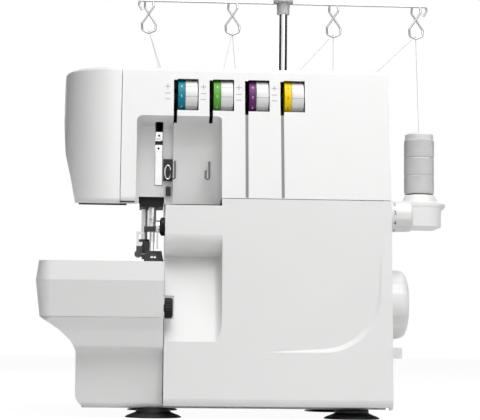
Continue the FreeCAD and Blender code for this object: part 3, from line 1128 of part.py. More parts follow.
def thread_stand():
    """Spool stand with pins, discs and spools, the telescopic mast and its thread tree."""
    block = box("stand_block", ("stand_left", "stand_right"), ("stand_front", "stand_front + stand_deep"),
                ("stand_low", "stand_top"))
    end = soften("stand_end", block, "stand_round",
                 lambda m, w, l: abs(w.z) > 0.9 and m.y < number("spool_y") and m.x > 0)
    soft = soften("stand_soft", end, "5", lambda m, w, l: abs(w.z) > 0.9 and m.y > number("spool_y"))
    room = box("stand_room", ("stand_left + 3", "stand_right - 62"),
               ("stand_front + 3", "stand_front + stand_deep - 3"), ("stand_low - 1", "stand_top - 3"))
    mast_hole = rod("stand_mast", "z", ("mast_x", "spool_y"), ("stand_low", "stand_top + 1"),
                    "mast_low_rad + 0.02")
    hollow = cut("stand_hollow", soft, room, mast_hole)
    pins, discs, cores, threads, strands, lines = [], [], [], [], [], []
    guide_x = (-85, -33, 28, 94)
    for order, x in enumerate(SPOOLS):
        at = (x, "spool_y")
        pins.append(rod("spool_pin%d" % order, "z", at, ("stand_top - 4", "core_top - 4"), "pin_rad"))
        discs.append(turned("spool_disc%d" % order, "z",
                            [("stand_top + 0.05", "pin_rad + 0.02"), ("stand_top + 0.05", "disc_rad - 2"),
                             ("188.1", "disc_rad"), ("190.4", "disc_rad"), ("193", "17"),
                             ("disc_top", "14.5"), ("disc_top", "pin_rad + 0.02")],
                            at))
        cores.append(turned("spool_core%d" % order, "z",
                            [("disc_top + 0.1", "core_bore"), ("disc_top + 0.1", "thread_rad - 0.6"),
                             ("disc_top + 1.4", "core_rad"), ("thread_top", "core_rad"),
                             ("thread_top", "13"), ("core_top - 1.5", "13.4"), ("core_top", "12"),
                             ("core_top", "core_bore")], at))
        threads.append(turned("thread_wound%d" % order, "z",
                              [("disc_top + 1.5", "core_rad + 0.05"),
                               ("disc_top + 1.5", "thread_rad - 0.5"), ("disc_top + 4", "thread_rad"),
                               ("217", "thread_rad"), ("217.4", "thread_rad - 0.4"),
                               ("217.8", "thread_rad"), ("233.8", "thread_rad"),
                               ("234.2", "thread_rad - 0.4"), ("234.6", "thread_rad"),
                               ("thread_top - 0.1", "thread_rad - 0.2"),
                               ("thread_top - 0.1", "core_rad + 0.05")], at))
        eye_x = number(EYES[order])
        strands.append(thread_piece("spool_strand%d" % order,
                                    (number(x), number("spool_y") + 1.7, number("core_top") + 1),
                                    (eye_x, number("spool_y") + 1.7, number(TREE_Z) - 28)))
        lines.append(thread_piece("guide_line%d" % order,
                                  (eye_x, number("spool_y") + 1.2, number(TREE_Z) - 27.8),
                                  (guide_x[order], number("guide_y"), number("guide_z"))))
    piece("spool_stand", fuse("spool_stand", hollow, *pins))
    piece("spool_discs", group("spool_discs", *discs))
    piece("spool_cores", group("spool_cores", *cores))
    piece("thread_windings", group("thread_windings", *threads))
    piece("spool_threads", group("spool_threads", *strands))
    piece("guide_threads", group("guide_threads", *lines))
    at = ("mast_x", "spool_y")
    piece("mast_tube",
          turned("mast_tube", "z",
                 [("stand_low + 2", "mast_rad + run_fit"), ("stand_low + 2", "mast_low_rad"),
                  ("290", "mast_low_rad"), ("290", "mast_rad + run_fit")], at))
    piece("mast_slider",
          turned("mast_slider", "z",
                 [("stand_low + 4 + mast_travel", "mast_rad - 1"),
                  ("stand_low + 4 + mast_travel", "mast_rad"), ("cap_top - 13", "mast_rad"),
                  ("cap_top - 13", "mast_rad - 1")], at))
    neck = turned("cap_turned", "z",
                  [("cap_top - 14.5", "mast_rad + 0.02"), ("cap_top - 14.5", "5.9"), ("cap_top - 4", "6.2"),
                   ("cap_top - 3.4", "9.4"), ("cap_top", "9"), ("cap_top", "0"), ("cap_top - 12.9", "0"),
                   ("cap_top - 12.9", "mast_rad + 0.02")], at)
    groove = rod("cap_groove", "x", ("spool_y", TREE_Z), ("mast_x - 12", "mast_x + 12"), "wire_rad + 0.02")
    piece("mast_cap", cut("mast_cap", neck, groove))
    piece("thread_tree", thread_tree())


def thread_tree():
    """Steel wire bar with hooked ends and four crossed thread eyes."""
    y, z, radius = number("spool_y"), number(TREE_Z), number("wire_rad")
    left, right = number(EYES[0]) - 9.5, number(EYES[3]) + 10
    wires = [wire_piece("tree_bar",
                        [(left + 3, y, z - 9), (left, y, z - 4), (left + 0.5, y, z), (right - 0.5, y, z),
                         (right, y, z - 4), (right - 3, y, z - 9)], radius, 1.5)]
    for order, eye in enumerate(EYES):
        x = number(eye)
        wires.append(wire_piece("tree_eye%d" % order,
                                [(x - 3.8, y, z - 0.3), (x - 4.2, y + 1.3, z - 6),
                                 (x + 6.6, y + 1.2, z - 22), (x + 6, y, z - 28), (x, y, z - 30.6),
                                 (x - 6, y, z - 28), (x - 6.6, y - 1.2, z - 22), (x + 4.2, y - 1.3, z - 6),
                                 (x + 3.8, y, z - 0.3)], radius, 2.6))
    return fuse("thread_tree", *wires)


def export_all():
    """Checks every object and writes one file for each node."""
    doc.recompute()
    for item in doc.Objects:
        if "Invalid" in item.State or "Error" in item.State:
            raise RuntimeError("object %s is not sound: %s" % (item.Name, item.State))
    os.makedirs("parts", exist_ok=True)
    for name, item in PIECES.items():
        shape = item.Shape
        if shape.isNull() or not shape.isValid() or not shape.Solids:
            raise RuntimeError("piece %s has no sound shape" % name)
        shape.exportStep("parts/%s.step" % name)


feet()
base()
front_cover()
head_covers()
face_cover()
lower_housing()
screws()
work_table()
base_cover()
free_arm()
frame()
drive()
needle_drive()
presser()
knife_and_loopers()
tension()
controls()
thread_stand()
export_all()
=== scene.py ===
import json
from math import cos, pi, radians, sin

import bmesh
import bpy
import numpy as np
from mathutils import Matrix, Vector


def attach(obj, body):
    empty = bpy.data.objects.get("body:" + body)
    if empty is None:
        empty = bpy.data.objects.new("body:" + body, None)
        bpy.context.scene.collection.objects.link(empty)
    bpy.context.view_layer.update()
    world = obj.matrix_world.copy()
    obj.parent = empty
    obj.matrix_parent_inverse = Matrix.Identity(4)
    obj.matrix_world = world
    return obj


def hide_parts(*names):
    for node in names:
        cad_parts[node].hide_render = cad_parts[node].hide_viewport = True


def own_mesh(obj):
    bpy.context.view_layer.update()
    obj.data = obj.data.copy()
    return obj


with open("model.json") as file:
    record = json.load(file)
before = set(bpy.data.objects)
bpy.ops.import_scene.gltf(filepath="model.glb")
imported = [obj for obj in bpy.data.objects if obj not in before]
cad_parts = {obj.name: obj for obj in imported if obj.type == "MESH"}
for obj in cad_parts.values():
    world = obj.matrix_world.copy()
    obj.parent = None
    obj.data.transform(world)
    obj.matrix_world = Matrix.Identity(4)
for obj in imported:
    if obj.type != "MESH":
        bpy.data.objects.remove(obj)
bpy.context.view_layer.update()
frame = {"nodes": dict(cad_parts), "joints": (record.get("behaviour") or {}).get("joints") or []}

nodes = frame["nodes"]
scene = bpy.context.scene
scene.view_settings.view_transform = "Standard"

# Camera: a long lens about 1.2 m from the machine's front and 54 mm above the table,
# turned a little to the right, tipped up, and leaning by about half a degree as in the photograph.
YAW, PITCH, ROLL = radians(3.36), radians(5.0), radians(0.6)
CAMERA_AT = (-0.09617, -1.374, 0.05389)
FOCAL_LENGTH, SENSOR_WIDTH = 120.0, 36.0
ahead = np.array([sin(YAW) * cos(PITCH), cos(YAW) * cos(PITCH), sin(PITCH)])
level = np.array([cos(YAW), -sin(YAW), 0.0])
plumb = np.cross(level, ahead)
across = level * cos(ROLL) + plumb * sin(ROLL)
upward = plumb * cos(ROLL) - level * sin(ROLL)
stance = np.eye(4)
stance[:3, :3] = np.column_stack([across, upward, -ahead])
stance[:3, 3] = CAMERA_AT
lens = bpy.data.cameras.new("camera")
lens.lens, lens.sensor_width, lens.sensor_fit = FOCAL_LENGTH, SENSOR_WIDTH, "HORIZONTAL"
camera = bpy.data.objects.new("camera", lens)
camera.matrix_world = Matrix(stance.tolist())
scene.collection.objects.link(camera)
scene.camera = camera

# Studio: a white table top without a visible edge, lit by five soft lamps: one above, two in front,
# one at the right and one behind. The reflections of two black screens out of view give the polished
# tube its dark sides.
MM = 0.001
TABLE_WIDE, TABLE_NEAR = 16000, -5000
TABLE_GREY, TABLE_GLOW, GLOW_SHARE = 0.7, 1.06, 0.9
ROOM_LIGHT, ROOM_SEEN = 0.03, 1.0
SCREEN_X, SCREEN_NEAR, SCREEN_LOW = 900, -700, 250
SCREEN_INWARD, SCREEN_LONG, SCREEN_HIGH = 250, 1500, 500


def skin(points, round_u=False, round_v=False):
    """Grid of points[u, v] in millimetres, with quads (u, v), (u+1, v), (u+1, v+1), (u, v+1).
    A round direction joins its last line of points to its first."""
    index = np.arange(points.shape[0] * points.shape[1]).reshape(points.shape[:2])
    if round_u:
        index = np.vstack([index, index[:1]])
    if round_v:
        index = np.hstack([index, index[:, :1]])
    quads = np.stack([index[:-1, :-1], index[1:, :-1], index[1:, 1:], index[:-1, 1:]], axis=-1)
    return points.reshape(-1, 3) * MM, quads.reshape(-1, 4)


def make(name, *skins, material, crease=40, close=False):
    """One piece from several skins: equal points merge, open ends close where asked, faces turn outward,
    and edges sharper than the crease angle stay sharp."""
    starts = np.cumsum([0] + [len(points) for points, quads in skins[:-1]])
    mesh = bpy.data.meshes.new(name)
    mesh.from_pydata(np.vstack([points for points, quads in skins]), [],
                     np.vstack([quads + start for (points, quads), start in zip(skins, starts)]))
    shape = bmesh.new()
    shape.from_mesh(mesh)
    bmesh.ops.remove_doubles(shape, verts=shape.verts, dist=1e-6)
    bmesh.ops.dissolve_degenerate(shape, edges=shape.edges, dist=1e-7)
    if close:
        bmesh.ops.holes_fill(shape, edges=[edge for edge in shape.edges if edge.is_boundary])
    bmesh.ops.recalc_face_normals(shape, faces=shape.faces)
    shape.to_mesh(mesh)
    shape.free()
    mesh.shade_smooth()
    mesh.set_sharp_from_angle(angle=radians(crease))
    mesh.materials.append(material)
    piece = bpy.data.objects.new(name, mesh)
    scene.collection.objects.link(piece)
    return piece


def sheet_of(corner, side_u, side_v):
    """Flat sheet: point(u, v) = corner + u·side_u + v·side_v, with u and v from 0 to 1."""
    u, v = np.meshgrid([0.0, 1.0], [0.0, 1.0], indexing="ij")
    return skin(np.array(corner) + u[..., None] * np.array(side_u) + v[..., None] * np.array(side_v))


def seen_directly(tree):
    """Value that is 1 for what the lens, a reflection or clear plastic shows, and 0 for light on surfaces."""
    rays = tree.nodes.new("ShaderNodeLightPath")
    first = tree.nodes.new("ShaderNodeMath")
    second = tree.nodes.new("ShaderNodeMath")
    first.operation = second.operation = "MAXIMUM"
    tree.links.new(rays.outputs["Is Camera Ray"], first.inputs[0])
    tree.links.new(rays.outputs["Is Glossy Ray"], first.inputs[1])
    tree.links.new(first.outputs[0], second.inputs[0])
    tree.links.new(rays.outputs["Is Transmission Ray"], second.inputs[1])
    return second.outputs[0]


table_white = bpy.data.materials.new("table_white")
table_white.use_nodes = True
tree = table_white.node_tree
tree.nodes["Principled BSDF"].inputs["Base Color"].default_value = (TABLE_GREY, TABLE_GREY, TABLE_GREY, 1)
tree.nodes["Principled BSDF"].inputs["Roughness"].default_value = 0.9
share = tree.nodes.new("ShaderNodeMath")
share.operation = "MULTIPLY"
share.inputs[1].default_value = GLOW_SHARE
glow = tree.nodes.new("ShaderNodeEmission")
glow.inputs["Strength"].default_value = TABLE_GLOW
blend = tree.nodes.new("ShaderNodeMixShader")
tree.links.new(seen_directly(tree), share.inputs[0])
tree.links.new(share.outputs[0], blend.inputs[0])
tree.links.new(tree.nodes["Principled BSDF"].outputs[0], blend.inputs[1])
tree.links.new(glow.outputs[0], blend.inputs[2])
tree.links.new(blend.outputs[0], tree.nodes["Material Output"].inputs["Surface"])
table_top = make("table_top",
                 sheet_of((-TABLE_WIDE / 2, TABLE_NEAR, 0), (TABLE_WIDE, 0, 0), (0, TABLE_WIDE, 0)),
                 material=table_white)

world = bpy.data.worlds.new("studio")
scene.world = world
world.use_nodes = True
tree = world.node_tree
level_of_light = tree.nodes.new("ShaderNodeMapRange")
level_of_light.inputs["To Min"].default_value = ROOM_LIGHT
level_of_light.inputs["To Max"].default_value = ROOM_SEEN
tree.links.new(seen_directly(tree), level_of_light.inputs["Value"])
tree.links.new(level_of_light.outputs["Result"], tree.nodes["Background"].inputs["Strength"])
tree.nodes["Background"].inputs["Color"].default_value = (1, 1, 1, 1)

AIM = Vector((0.0, -0.05, 0.12))
for name, place, size, watts in (("top_softbox", (0.25, -0.60, 1.5), (1.5, 1.0), 21.0),
                                 ("high_softbox", (0.1, -1.6, 1.3), (1.2, 0.9), 8.0),
                                 ("front_softbox", (0.8, -2.2, 0.55), (0.9, 0.9), 3.4),
                                 ("right_softbox", (1.7, -0.7, 0.8), (0.9, 0.9), 2.2),
                                 ("rear_softbox", (-0.4, 2.2, 0.9), (1.2, 0.9), 9.0)):
    lamp = bpy.data.lights.new(name, "AREA")
    lamp.shape, lamp.size, lamp.size_y, lamp.energy = "RECTANGLE", size[0], size[1], watts
    holder = bpy.data.objects.new(name, lamp)
    holder.location = place
    holder.rotation_mode = "QUATERNION"
    holder.rotation_quaternion = (AIM - Vector(place)).to_track_quat("-Z", "Y")
    scene.collection.objects.link(holder)

screen_black = bpy.data.materials.new("screen_black")
screen_black.use_nodes = True
screen_black.node_tree.nodes["Principled BSDF"].inputs["Base Color"].default_value = (0.01, 0.01, 0.01, 1)
screen_black.node_tree.nodes["Principled BSDF"].inputs["Roughness"].default_value = 1.0
for side in (-1, 1):
    screen = make("screen_%s" % ("left" if side < 0 else "right"),
                  sheet_of((side * SCREEN_X, SCREEN_NEAR, SCREEN_LOW),
                           (side * -SCREEN_INWARD, SCREEN_LONG, 0), (0, 0, SCREEN_HIGH)),
                  material=screen_black)
    screen.visible_camera = False
    screen.visible_diffuse = False
    screen.visible_shadow = False


# Suction feet: four black rubber cups, each moulded in one with the neck that plugs into the bottom pan.
# They carry the machine, so their rims lie on the table.
def turned(profile, at, axis="x", steps=64, ring=False, swell=None):
    """Profile of (along, radius) carried round an axis: along x the point is
    (along, y - r·cos a, z + r·sin a), along z it is (x + r·cos a, y + r·sin a, along).
    A ring profile closes on itself, and swell(along, a) adds to the radius."""
    along, radius = np.array(profile, float).T
    angle = np.linspace(0, 2 * pi, steps, endpoint=False)
    along, angle = np.meshgrid(along, angle, indexing="ij")
    radius = np.broadcast_to(radius[:, None], along.shape)
    if swell:
        radius = radius + swell(along, angle)
    near, high = radius * np.cos(angle), radius * np.sin(angle)
    if axis == "x":
        grid = np.stack([along, at[0] - near, at[1] + high], axis=-1)
    else:
        grid = np.stack([at[0] + near, at[1] + high, along], axis=-1)
    return skin(grid, round_u=ring, round_v=True)


def eased(corners, reach, steps=5):
    """Polyline whose inner corners become parabolas (1-t)²·a + 2t(1-t)·corner + t²·b, where a and b lie
    at the given reach from the corner, or at a third of a shorter side."""
    corners = np.array(corners, float)
    t = np.linspace(0, 1, steps)[:, None]
    runs = [corners[:1]]
    for before, corner, after in zip(corners, corners[1:], corners[2:]):
        back, on = before - corner, after - corner
        a = corner + back * min(reach / np.linalg.norm(back), 1 / 3)
        b = corner + on * min(reach / np.linalg.norm(on), 1 / 3)
        runs.append((1 - t) ** 2 * a + 2 * t * (1 - t) * corner + t ** 2 * b)
    return np.vstack(runs + [corners[-1:]])


def calc(tree, operation, *values):
    """Output of a math node over numbers and sockets."""
    node = tree.nodes.new("ShaderNodeMath")
    node.operation = operation
    for socket, value in zip(node.inputs, values):
        if isinstance(value, (int, float)):
            socket.default_value = value
        else:
            tree.links.new(value, socket)
    return node.outputs[0]


def speckle(tree, scale, detail, stretch=(1, 1, 1)):
    """Noise over the object's own coordinates, stretched along its axes."""
    place = tree.nodes.new("ShaderNodeTexCoord")
    stretched = tree.nodes.new("ShaderNodeMapping")
    stretched.inputs["Scale"].default_value = stretch
    noise = tree.nodes.new("ShaderNodeTexNoise")
    noise.inputs["Scale"].default_value = scale
    noise.inputs["Detail"].default_value = detail
    tree.links.new(place.outputs["Object"], stretched.inputs["Vector"])
    tree.links.new(stretched.outputs["Vector"], noise.inputs["Vector"])
    return noise.outputs["Fac"]


def shaded(tree, color, amount):
    """Colour scaled by a value."""
    node = tree.nodes.new("ShaderNodeVectorMath")
    node.operation = "SCALE"
    tree.links.new(color, node.inputs[0])
    tree.links.new(amount, node.inputs["Scale"])
    return node.outputs[0]


def raised(tree, height, distance):
    """Normal of a surface that rises by the distance, in metres, where the height is 1."""
    node = tree.nodes.new("ShaderNodeBump")
    node.inputs["Strength"].default_value = 1.0
    tree.links.new(distance, node.inputs["Distance"])
    tree.links.new(height, node.inputs["Height"])
    return node.outputs["Normal"]


def finish_group(name, grain, tone, gloss, relief, tone_change, gloss_change):
    """Shader group of a finish made of three speckle patterns: color·(1 + tone_change·(tone - 1/2)),
    roughness + gloss_change·(gloss - 1/2), and a normal raised by grain·relief."""
    group = bpy.data.node_groups.new(name, "ShaderNodeTree")
    for label, kind, value in (("Color", "NodeSocketColor", (0.8, 0.8, 0.8, 1)),
                               ("Roughness", "NodeSocketFloat", 0.4), ("Grain", "NodeSocketFloat", grain)):
        group.interface.new_socket(label, in_out="INPUT", socket_type=kind).default_value = value
    for label, kind in (("Color", "NodeSocketColor"), ("Roughness", "NodeSocketFloat"),
                        ("Normal", "NodeSocketVector")):
        group.interface.new_socket(label, in_out="OUTPUT", socket_type=kind)
    given, result = group.nodes.new("NodeGroupInput"), group.nodes.new("NodeGroupOutput")
    lightness = calc(group, "MULTIPLY_ADD", speckle(group, *tone), tone_change, 1 - tone_change / 2)
    dulling = calc(group, "MULTIPLY_ADD", speckle(group, *gloss), gloss_change, -gloss_change / 2)
    group.links.new(shaded(group, given.outputs["Color"], lightness), result.inputs["Color"])
    group.links.new(calc(group, "ADD", given.outputs["Roughness"], dulling), result.inputs["Roughness"])
    group.links.new(raised(group, speckle(group, *relief), given.outputs["Grain"]), result.inputs["Normal"])
    return group


def material_of(name, group, color, metallic=0.0, specular=0.5, **settings):
    """Material whose colour, roughness and normal come from a surface group with its own settings."""
    material = bpy.data.materials.new(name)
    material.use_nodes = True
    tree = material.node_tree
    shader = tree.nodes["Principled BSDF"]
    shader.inputs["Metallic"].default_value = metallic
    shader.inputs["Specular IOR Level"].default_value = specular
    surface = tree.nodes.new("ShaderNodeGroup")
    surface.node_tree = group
    surface.inputs["Color"].default_value = (*color, 1)
    for label, value in settings.items():
        surface.inputs[label.capitalize()].default_value = value
    tree.links.new(surface.outputs["Color"], shader.inputs["Base Color"])
    tree.links.new(surface.outputs["Roughness"], shader.inputs["Roughness"])
    tree.links.new(surface.outputs["Normal"], shader.inputs["Normal"])
    return material


# moulded skin: fine spark-eroded grain of a mould, with slow changes of tone and gloss over the piece
SLOW, FINE = (11.0, 3.0), (1500.0, 1.0)
moulded_skin = finish_group("moulded_skin", 0.00004, tone=SLOW, gloss=SLOW, relief=FINE,
                            tone_change=0.04, gloss_change=0.12)
foot_rubber = material_of("foot_rubber", moulded_skin, (0.006, 0.006, 0.006), roughness=0.5, specular=0.3)
FOOT_RIM, FOOT_NECK, FOOT_HIGH = 22.4, 13.6, 7.5
FOOT_X, FOOT_Y = (-88.4, 70), (-94, 62)
cup = eased([(1.6, 0), (1.2, 17), (0, 21.2), (0.0, FOOT_RIM - 0.3), (0.7, FOOT_RIM), (2.0, 20.2), (3.4, 16.4),
             (4.6, FOOT_NECK), (FOOT_HIGH, FOOT_NECK), (FOOT_HIGH, 0)], 1.5)
feet = make("suction_feet", *[turned(cup, (x, y), axis="z") for x in FOOT_X for y in FOOT_Y],
            material=foot_rubber)
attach(feet, "chassis")
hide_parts("rubber_feet")


# Bottom pan, cast frame and running gear: folded steel, sand-cast aluminium and sintered bronze,
# screwed together inside the covers. The frame's nose, which looks out over the needles, gets painted shade:
# its colour is darkened where it lies in shadow.
def dress(material, *names):
    """Gives the finish to carried-over pieces."""
    for name in names:
        nodes[name].material_slots[0].material = material


def own_place(tree):
    """The piece's own x, y and z in millimetres."""
    place = tree.nodes.new("ShaderNodeTexCoord")
    scaled = tree.nodes.new("ShaderNodeVectorMath")
    scaled.operation = "SCALE"
    scaled.inputs["Scale"].default_value = 1 / MM
    parts = tree.nodes.new("ShaderNodeSeparateXYZ")
    tree.links.new(place.outputs["Object"], scaled.inputs[0])
    tree.links.new(scaled.outputs[0], parts.inputs[0])
    return parts.outputs


def above(tree, value, limit):
    """Mask that is 1 where the value is over the limit."""
    return calc(tree, "GREATER_THAN", value, limit)


def below(tree, value, limit):
    """Mask that is 1 where the value is under the limit."""
    return calc(tree, "LESS_THAN", value, limit)


def every(tree, first, *others):
    """Mask that is 1 where every mask is 1: their product."""
    for other in others:
        first = calc(tree, "MULTIPLY", first, other)
    return first


def between(tree, value, low, high):
    """Mask that is 1 where the value lies between two limits."""
    return every(tree, above(tree, value, low), below(tree, value, high))


def darken(material, mask, share):
    """Takes that share of the colour away where the mask is 1."""
    tree = material.node_tree
    socket = tree.nodes["Principled BSDF"].inputs["Base Color"]
    kept = calc(tree, "MULTIPLY_ADD", mask, -share, 1.0)
    tree.links.new(shaded(tree, socket.links[0].from_socket, kept), socket)


# worked metal: fine lines along one axis of the piece and a few cloudy patches of oil and handling
LINES, CLOUDS = (900.0, 2.0, (1.0, 1.0, 0.04)), (60.0, 3.0)
worked_metal = finish_group("worked_metal", 0.00001, tone=CLOUDS, gloss=LINES, relief=LINES,
                            tone_change=0.24, gloss_change=0.16)

cast_metal = material_of("cast_metal", moulded_skin, (0.30, 0.30, 0.31), metallic=0.7, roughness=0.55,
                         grain=0.00025)
pan_grey = material_of("pan_grey", worked_metal, (0.62, 0.62, 0.62), metallic=0.1, roughness=0.5)
bronze = material_of("bronze", worked_metal, (0.50, 0.32, 0.15), metallic=1.0, roughness=0.35)
can_steel = material_of("can_steel", worked_metal, (0.25, 0.25, 0.26), metallic=0.9, roughness=0.42)
belt_rubber = material_of("belt_rubber", moulded_skin, (0.015, 0.015, 0.015), roughness=0.6, grain=0.0002)
gear_grey = material_of("gear_grey", moulded_skin, (0.35, 0.35, 0.36), roughness=0.45)
SHADED_NOSE_Y, SHADED_NOSE_Z = (-70.0, -28.5), (160.0, 184.5)
tree = cast_metal.node_tree
x, y, z = own_place(tree)
# painted shade: the frame's nose is darkened where it lies in shadow under the head
darken(cast_metal, every(tree, between(tree, y, *SHADED_NOSE_Y), between(tree, z, *SHADED_NOSE_Z)), 0.93)
dress(cast_metal, "main_frame")
dress(pan_grey, "base_pan")
dress(bronze, "bearing_bushes")
dress(can_steel, "motor")
dress(belt_rubber, "drive_belt")
dress(gear_grey, "drive_pulley", "motor_pulley")

# Needle drive, presser and loopers: ground and hardened steel, plated where fingers touch it.
# The bars slide in the bushes, and the foot and clamp are blackened so that the thread shows.
ground_steel = material_of("ground_steel", worked_metal, (0.62, 0.62, 0.63), metallic=1.0, roughness=0.24)
plate_steel = material_of("plate_steel", worked_metal, (0.78, 0.78, 0.78), metallic=0.9, roughness=0.3)
black_steel = material_of("black_steel", worked_metal, (0.06, 0.06, 0.063), metallic=0.8, roughness=0.34)
dress(ground_steel, "cover_hinge_rod", "main_shaft", "rocker_shaft", "connecting_rod", "needles",
      "presser_spring", "feed_dogs", "lower_knife", "upper_knife", "lower_looper", "upper_looper",
      "needle_plate")
dress(plate_steel, "needle_bar", "presser_bar")
dress(black_steel, "needle_clamp", "presser_foot")


def either(tree, first, second):
    """Mask that is 1 where one of two masks is 1: the larger of them."""
    return calc(tree, "MAXIMUM", first, second)


# take-up plate: polished, with painted shade: a black band where its slot runs across it and a black spot
# where its eyelet sits below the slot
EYELET_X, EYELET_Z, EYELET_RAD = -87.0, 218.3, 0.8944
TAKE_UP_SLOT_SHADE_Z = (221.3, 224.9)
take_up_steel = material_of("take_up_steel", worked_metal, (0.95, 0.95, 0.95), metallic=1.0, roughness=0.12)
tree = take_up_steel.node_tree
x, y, z = own_place(tree)
offsets = [calc(tree, "SUBTRACT", x, EYELET_X), calc(tree, "SUBTRACT", z, EYELET_Z)]
away_squared = calc(tree, "ADD", *[calc(tree, "POWER", offset, 2.0) for offset in offsets])
painted_eyelet_shade = below(tree, away_squared, EYELET_RAD ** 2)
# painted shade: the slot and the eyelet are coloured black where their openings would lie in shadow
darken(take_up_steel, either(tree, between(tree, z, *TAKE_UP_SLOT_SHADE_Z), painted_eyelet_shade), 0.96)
dress(take_up_steel, "take_up_block")

# release lever: bright, with a black tip
LEVER_TIP_TO = 137.8
release_steel = material_of("release_steel", worked_metal, (0.78, 0.78, 0.78), metallic=0.6, roughness=0.35)
tree = release_steel.node_tree
x, y, z = own_place(tree)
darken(release_steel, below(tree, z, LEVER_TIP_TO), 0.9)
dress(release_steel, "foot_release")

# Tension gear behind the dials: pressed steel discs and springs on a steel bracket, which is screwed
# to the frame inside the head cover. Their near-black colour is painted shade for the dark inside of the
# head.
shade_black_steel = material_of("shade_black_steel", worked_metal, (0.02, 0.02, 0.02), metallic=0.3, specular=0.1,
                          roughness=0.6)
dress(shade_black_steel, "tension_discs", "tension_springs", "tension_bracket")

# Body covers: white ABS mouldings with a fine grain, clipped and screwed to the frame.
# Behind its openings the head cover has painted shade: its inner faces are darkened.
WHITE = (0.84, 0.84, 0.835)
cover_white = material_of("cover_white", moulded_skin, WHITE, roughness=0.36, grain=0.00003)
dress(cover_white, "front_cover", "rear_cover", "face_cover", "lower_housing", "work_table", "base_cover",
      "arm_cover", "spool_stand", "spool_discs")

# head cover: white outside, with painted shade on its inner faces and in its thread grooves
FRONT_FOOT, FRONT_LEAN, MID_WALL = -143.0, 0.212, 1.3
CEILING_FOOT, CEILING_LEAN = 218.8, -0.2532
RECESS_LEFT, RECESS_RIGHT, RECESS_BACK = -105.6, -35.5, -66.7
FLOOR_Z, FLOOR_STEP, FLOOR_STEP_X = 169.8, 6.8, -80.5
INSIDE_RIGHT, INSIDE_TOP = 98.7, 273.8
SLOT_PITCH = 28.9
SLOTS = [-73.9 + SLOT_PITCH * order for order in range(4)]
GROOVE_HALF, GROOVE_SKIN, GROOVE_TOP = 1.445, 0.4, 245.5
GROOVE_LEFT, GROOVE_RIGHT, GROOVE_SHADE = -20.0, 16.0, 0.72
head_white_painted_shade = material_of("head_white_painted_shade", moulded_skin, WHITE, roughness=0.36, grain=0.00003)
tree = head_white_painted_shade.node_tree
x, y, z = own_place(tree)
behind = calc(tree, "SUBTRACT", y, calc(tree, "MULTIPLY_ADD", z, FRONT_LEAN, FRONT_FOOT))
over_ceiling = calc(tree, "SUBTRACT", z, calc(tree, "MULTIPLY_ADD", y, CEILING_LEAN, CEILING_FOOT))
over_recess = either(tree, above(tree, y, RECESS_BACK), above(tree, over_ceiling, MID_WALL))
beside_recess = either(tree, below(tree, x, RECESS_LEFT), above(tree, x, RECESS_RIGHT))
floor_line = calc(tree, "MULTIPLY_ADD", above(tree, x, FLOOR_STEP_X), FLOOR_STEP, FLOOR_Z)
within = every(tree, below(tree, z, INSIDE_TOP), below(tree, x, INSIDE_RIGHT), above(tree, z, floor_line))
inside = every(tree, above(tree, behind, MID_WALL), within, either(tree, over_recess, beside_recess))
pitches = calc(tree, "DIVIDE", calc(tree, "SUBTRACT", x, SLOTS[0]), SLOT_PITCH)
from_slot = calc(tree, "SUBTRACT", calc(tree, "FRACT", calc(tree, "ADD", pitches, 0.5)), 0.5)
groove = every(tree, above(tree, behind, GROOVE_SKIN), between(tree, x, GROOVE_LEFT, GROOVE_RIGHT),
               below(tree, calc(tree, "ABSOLUTE", from_slot), GROOVE_HALF / SLOT_PITCH),
               below(tree, z, GROOVE_TOP))
# painted shade: the inner faces and the thread grooves are darkened where shadow falls
darken(head_white_painted_shade, either(tree, inside, calc(tree, "MULTIPLY", groove, GROOVE_SHADE)), 0.985)
dress(head_white_painted_shade, "head_cover")

# Bead under the face cover: a soft black cord, pressed into the cover's lower front edge,
# put there as painted shade for the dark line under that edge.
BEAD_RAD, BEAD_SINK = 0.8, 0.5
CORNER_X, CORNER_Y, CORNER_RAD, CORNER_TURN = -121.6, -63.3, 39.5, 46
FACE_LOW, FACE_RISE, FACE_NEAR, FACE_DEEP = 168.5, 17, -107.27, 176.27


def bead(path, radius, sides=10):
    """Round cord along a level path: point = path + radius·(cos a·n + sin a·up), with n across the path."""
    path = np.array(path, float)
    way = np.gradient(path, axis=0) * (1, 1, 0)
    n = np.cross(way, (0, 0, 1)) / np.linalg.norm(way, axis=1)[:, None]
    a = np.linspace(0, 2 * pi, sides, endpoint=False)
    ring = np.cos(a)[None, :, None] * n[:, None] + np.sin(a)[None, :, None] * np.array([0, 0, 1.0])
    return skin(path[:, None] + radius * ring, round_v=True)


turn = np.radians(np.linspace(0, CORNER_TURN, 24))
straight = [(x, CORNER_Y - CORNER_RAD) for x in np.linspace(-112, -120, 5)]
bend = np.stack([CORNER_X - CORNER_RAD * np.sin(turn), CORNER_Y - CORNER_RAD * np.cos(turn)], axis=-1)
level_path = np.vstack([straight, bend])
under = FACE_LOW + FACE_RISE * (level_path[:, 1] - FACE_NEAR) / FACE_DEEP
# painted shade: a black cord where the edge's underside lies in shadow
cord = make("face_shade_bead", bead(np.column_stack([level_path, under - BEAD_SINK]), BEAD_RAD),
            material=foot_rubber, close=True)
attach(cord, "chassis")

# Cover screws: four steel pan-head screws with a cross recess, turned through the rear cover
# into the frame.
SCREW_X, SCREW_Z = (-90, 80), (192, 268)


